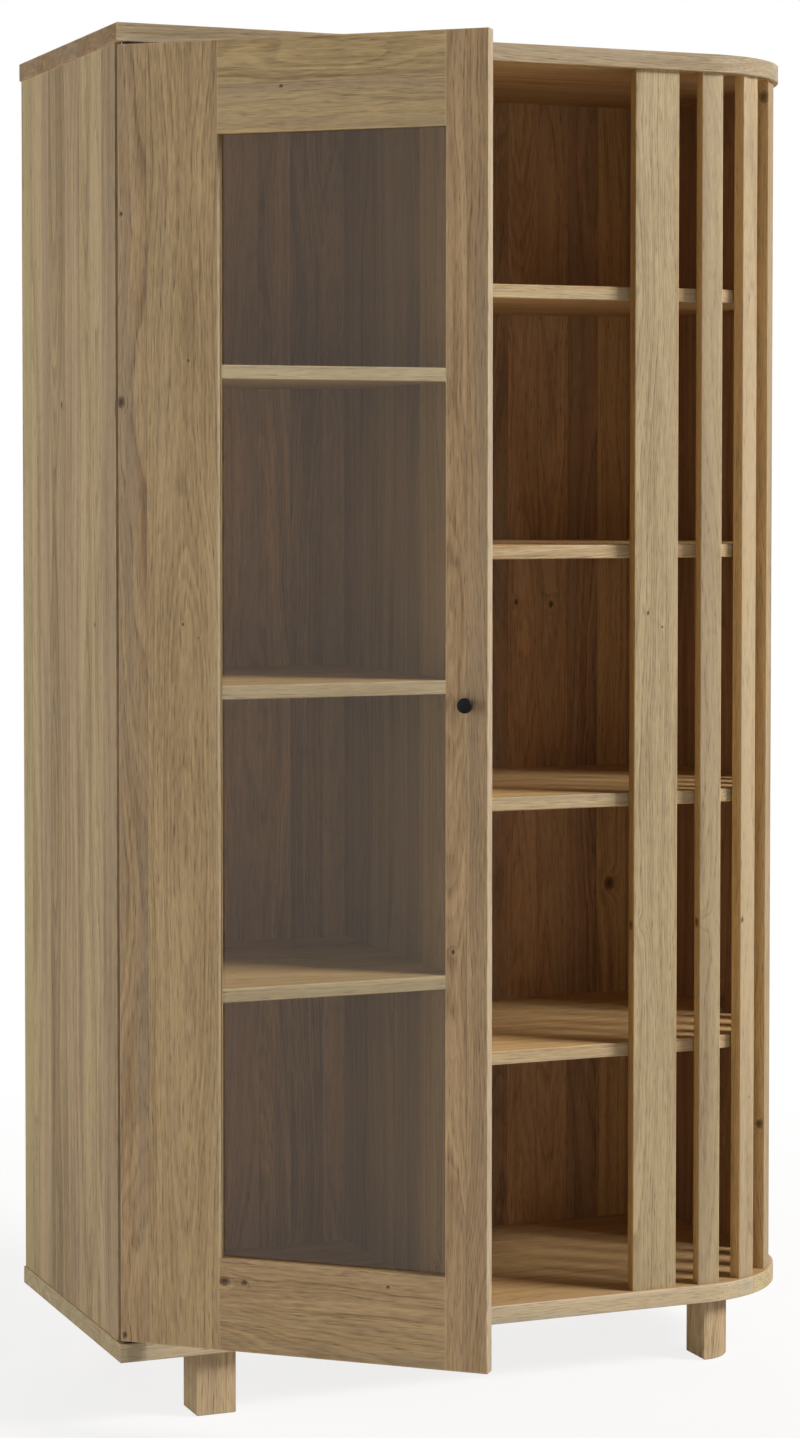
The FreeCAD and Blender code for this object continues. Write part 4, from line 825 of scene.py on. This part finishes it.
# --- Studio -----------------------------------------------------------------------------
# A pale floor that keeps a soft shadow, a white surround, and four soft lamps. The camera
# stands to the left of the bookcase, a little above its middle, and looks slightly down.

PICTURE_HEIGHT, SHIFT_RIGHT, SHIFT_UP = 1438, 20, -119.5  # in pixels
TURNED_RIGHT, TILTED_DOWN = 21.7549, 2.0738  # in degrees
scene.view_settings.view_transform = "Standard"
camera = bpy.data.objects.new("camera", bpy.data.cameras.new("camera"))
scene.collection.objects.link(camera)
camera.location = (-1.7167, -4.1578, 1.1996)
camera.rotation_euler = (math.radians(90 - TILTED_DOWN), 0, math.radians(-TURNED_RIGHT))
camera.data.lens = 82.152
camera.data.shift_x = SHIFT_RIGHT / PICTURE_HEIGHT
camera.data.shift_y = SHIFT_UP / PICTURE_HEIGHT
scene.camera = camera

AMBIENT, MIRRORED = 0.10, 0.08


def studio_light(tree):
    """Whether a ray comes straight from the camera or through the glass, whether it is a
    mirrored one, and how bright it finds the surround: white to the first, dim to the
    second, and only the ambient light to all others."""
    path = add(tree, "ShaderNodeLightPath").outputs
    first = calc(tree, "LESS_THAN", path["Diffuse Depth"], 0.5)
    clear = times(tree, calc(tree, "MAXIMUM", path["Is Camera Ray"],
                             path["Is Transmission Ray"]), first)
    mirrored = times(tree, path["Is Glossy Ray"], first)
    strength = plus(tree, times(tree, clear, 1 - AMBIENT), AMBIENT,
                    times(tree, mirrored, MIRRORED - AMBIENT))
    return clear, mirrored, strength


floor_mesh = bpy.data.meshes.new("floor")
FLOOR_REACH = 9
floor_mesh.from_pydata([(x * FLOOR_REACH, y * FLOOR_REACH, 0)
                        for x, y in ((-1, -1), (1, -1), (1, 1), (-1, 1))], [], [(0, 1, 2, 3)])
floor = bpy.data.objects.new("floor", floor_mesh)
scene.collection.objects.link(floor)
pale_floor, tree, shader, place = new_finish("pale_floor")
fill(tree, shader, {"Base Color": (0.85, 0.82, 0.77, 1),
                    "Roughness": ramp(tree, cloudy(tree, place, 3.0), 0.3, 0.7, 0.75, 0.85)})
clear, mirrored, strength = studio_light(tree)
white = add(tree, "ShaderNodeEmission", {"Color": (1, 1, 1, 1), "Strength": strength})
fading = ramp(tree, vector_calc(tree, "LENGTH", place), 0.5, 2.4, 0.82, 1.0)
both = add(tree, "ShaderNodeMixShader", {
    0: calc(tree, "MAXIMUM", mirrored, times(tree, clear, fading)),
    1: shader.outputs[0], 2: white.outputs[0]})
tree.links.new(both.outputs[0], tree.nodes["Material Output"].inputs["Surface"])
finish_material(floor, pale_floor)

world = bpy.data.worlds.new("studio")
world.use_nodes = True
tree = world.node_tree
fill(tree, tree.nodes["Background"], {"Color": (1, 1, 1, 1), "Strength": studio_light(tree)[2]})
scene.world = world

for name, place, aim, size, power in (
        ("key", (7.0, -5.2, 6.6), (0.1, 0, 0.9), 3.2, 1270),
        ("front", (-2.8, -4.2, 2.0), (0, 0, 0.7), 3.6, 15),
        ("fill", (-6.0, 0.7, 1.6), (0, 0, 0.9), 3.4, 160),
        ("rear", (2.2, 6.0, 2.8), (0, 0, 0.9), 3.2, 140)):
    lamp = bpy.data.lights.new(name, "AREA")
    lamp.shape = "SQUARE"
    lamp.size = size
    lamp.energy = power
    holder = bpy.data.objects.new(name, lamp)
    holder.location = place
    holder.rotation_euler = (Vector(aim) - Vector(place)).to_track_quat("-Z", "Y").to_euler()
    holder.visible_transmission = False
    scene.collection.objects.link(holder)
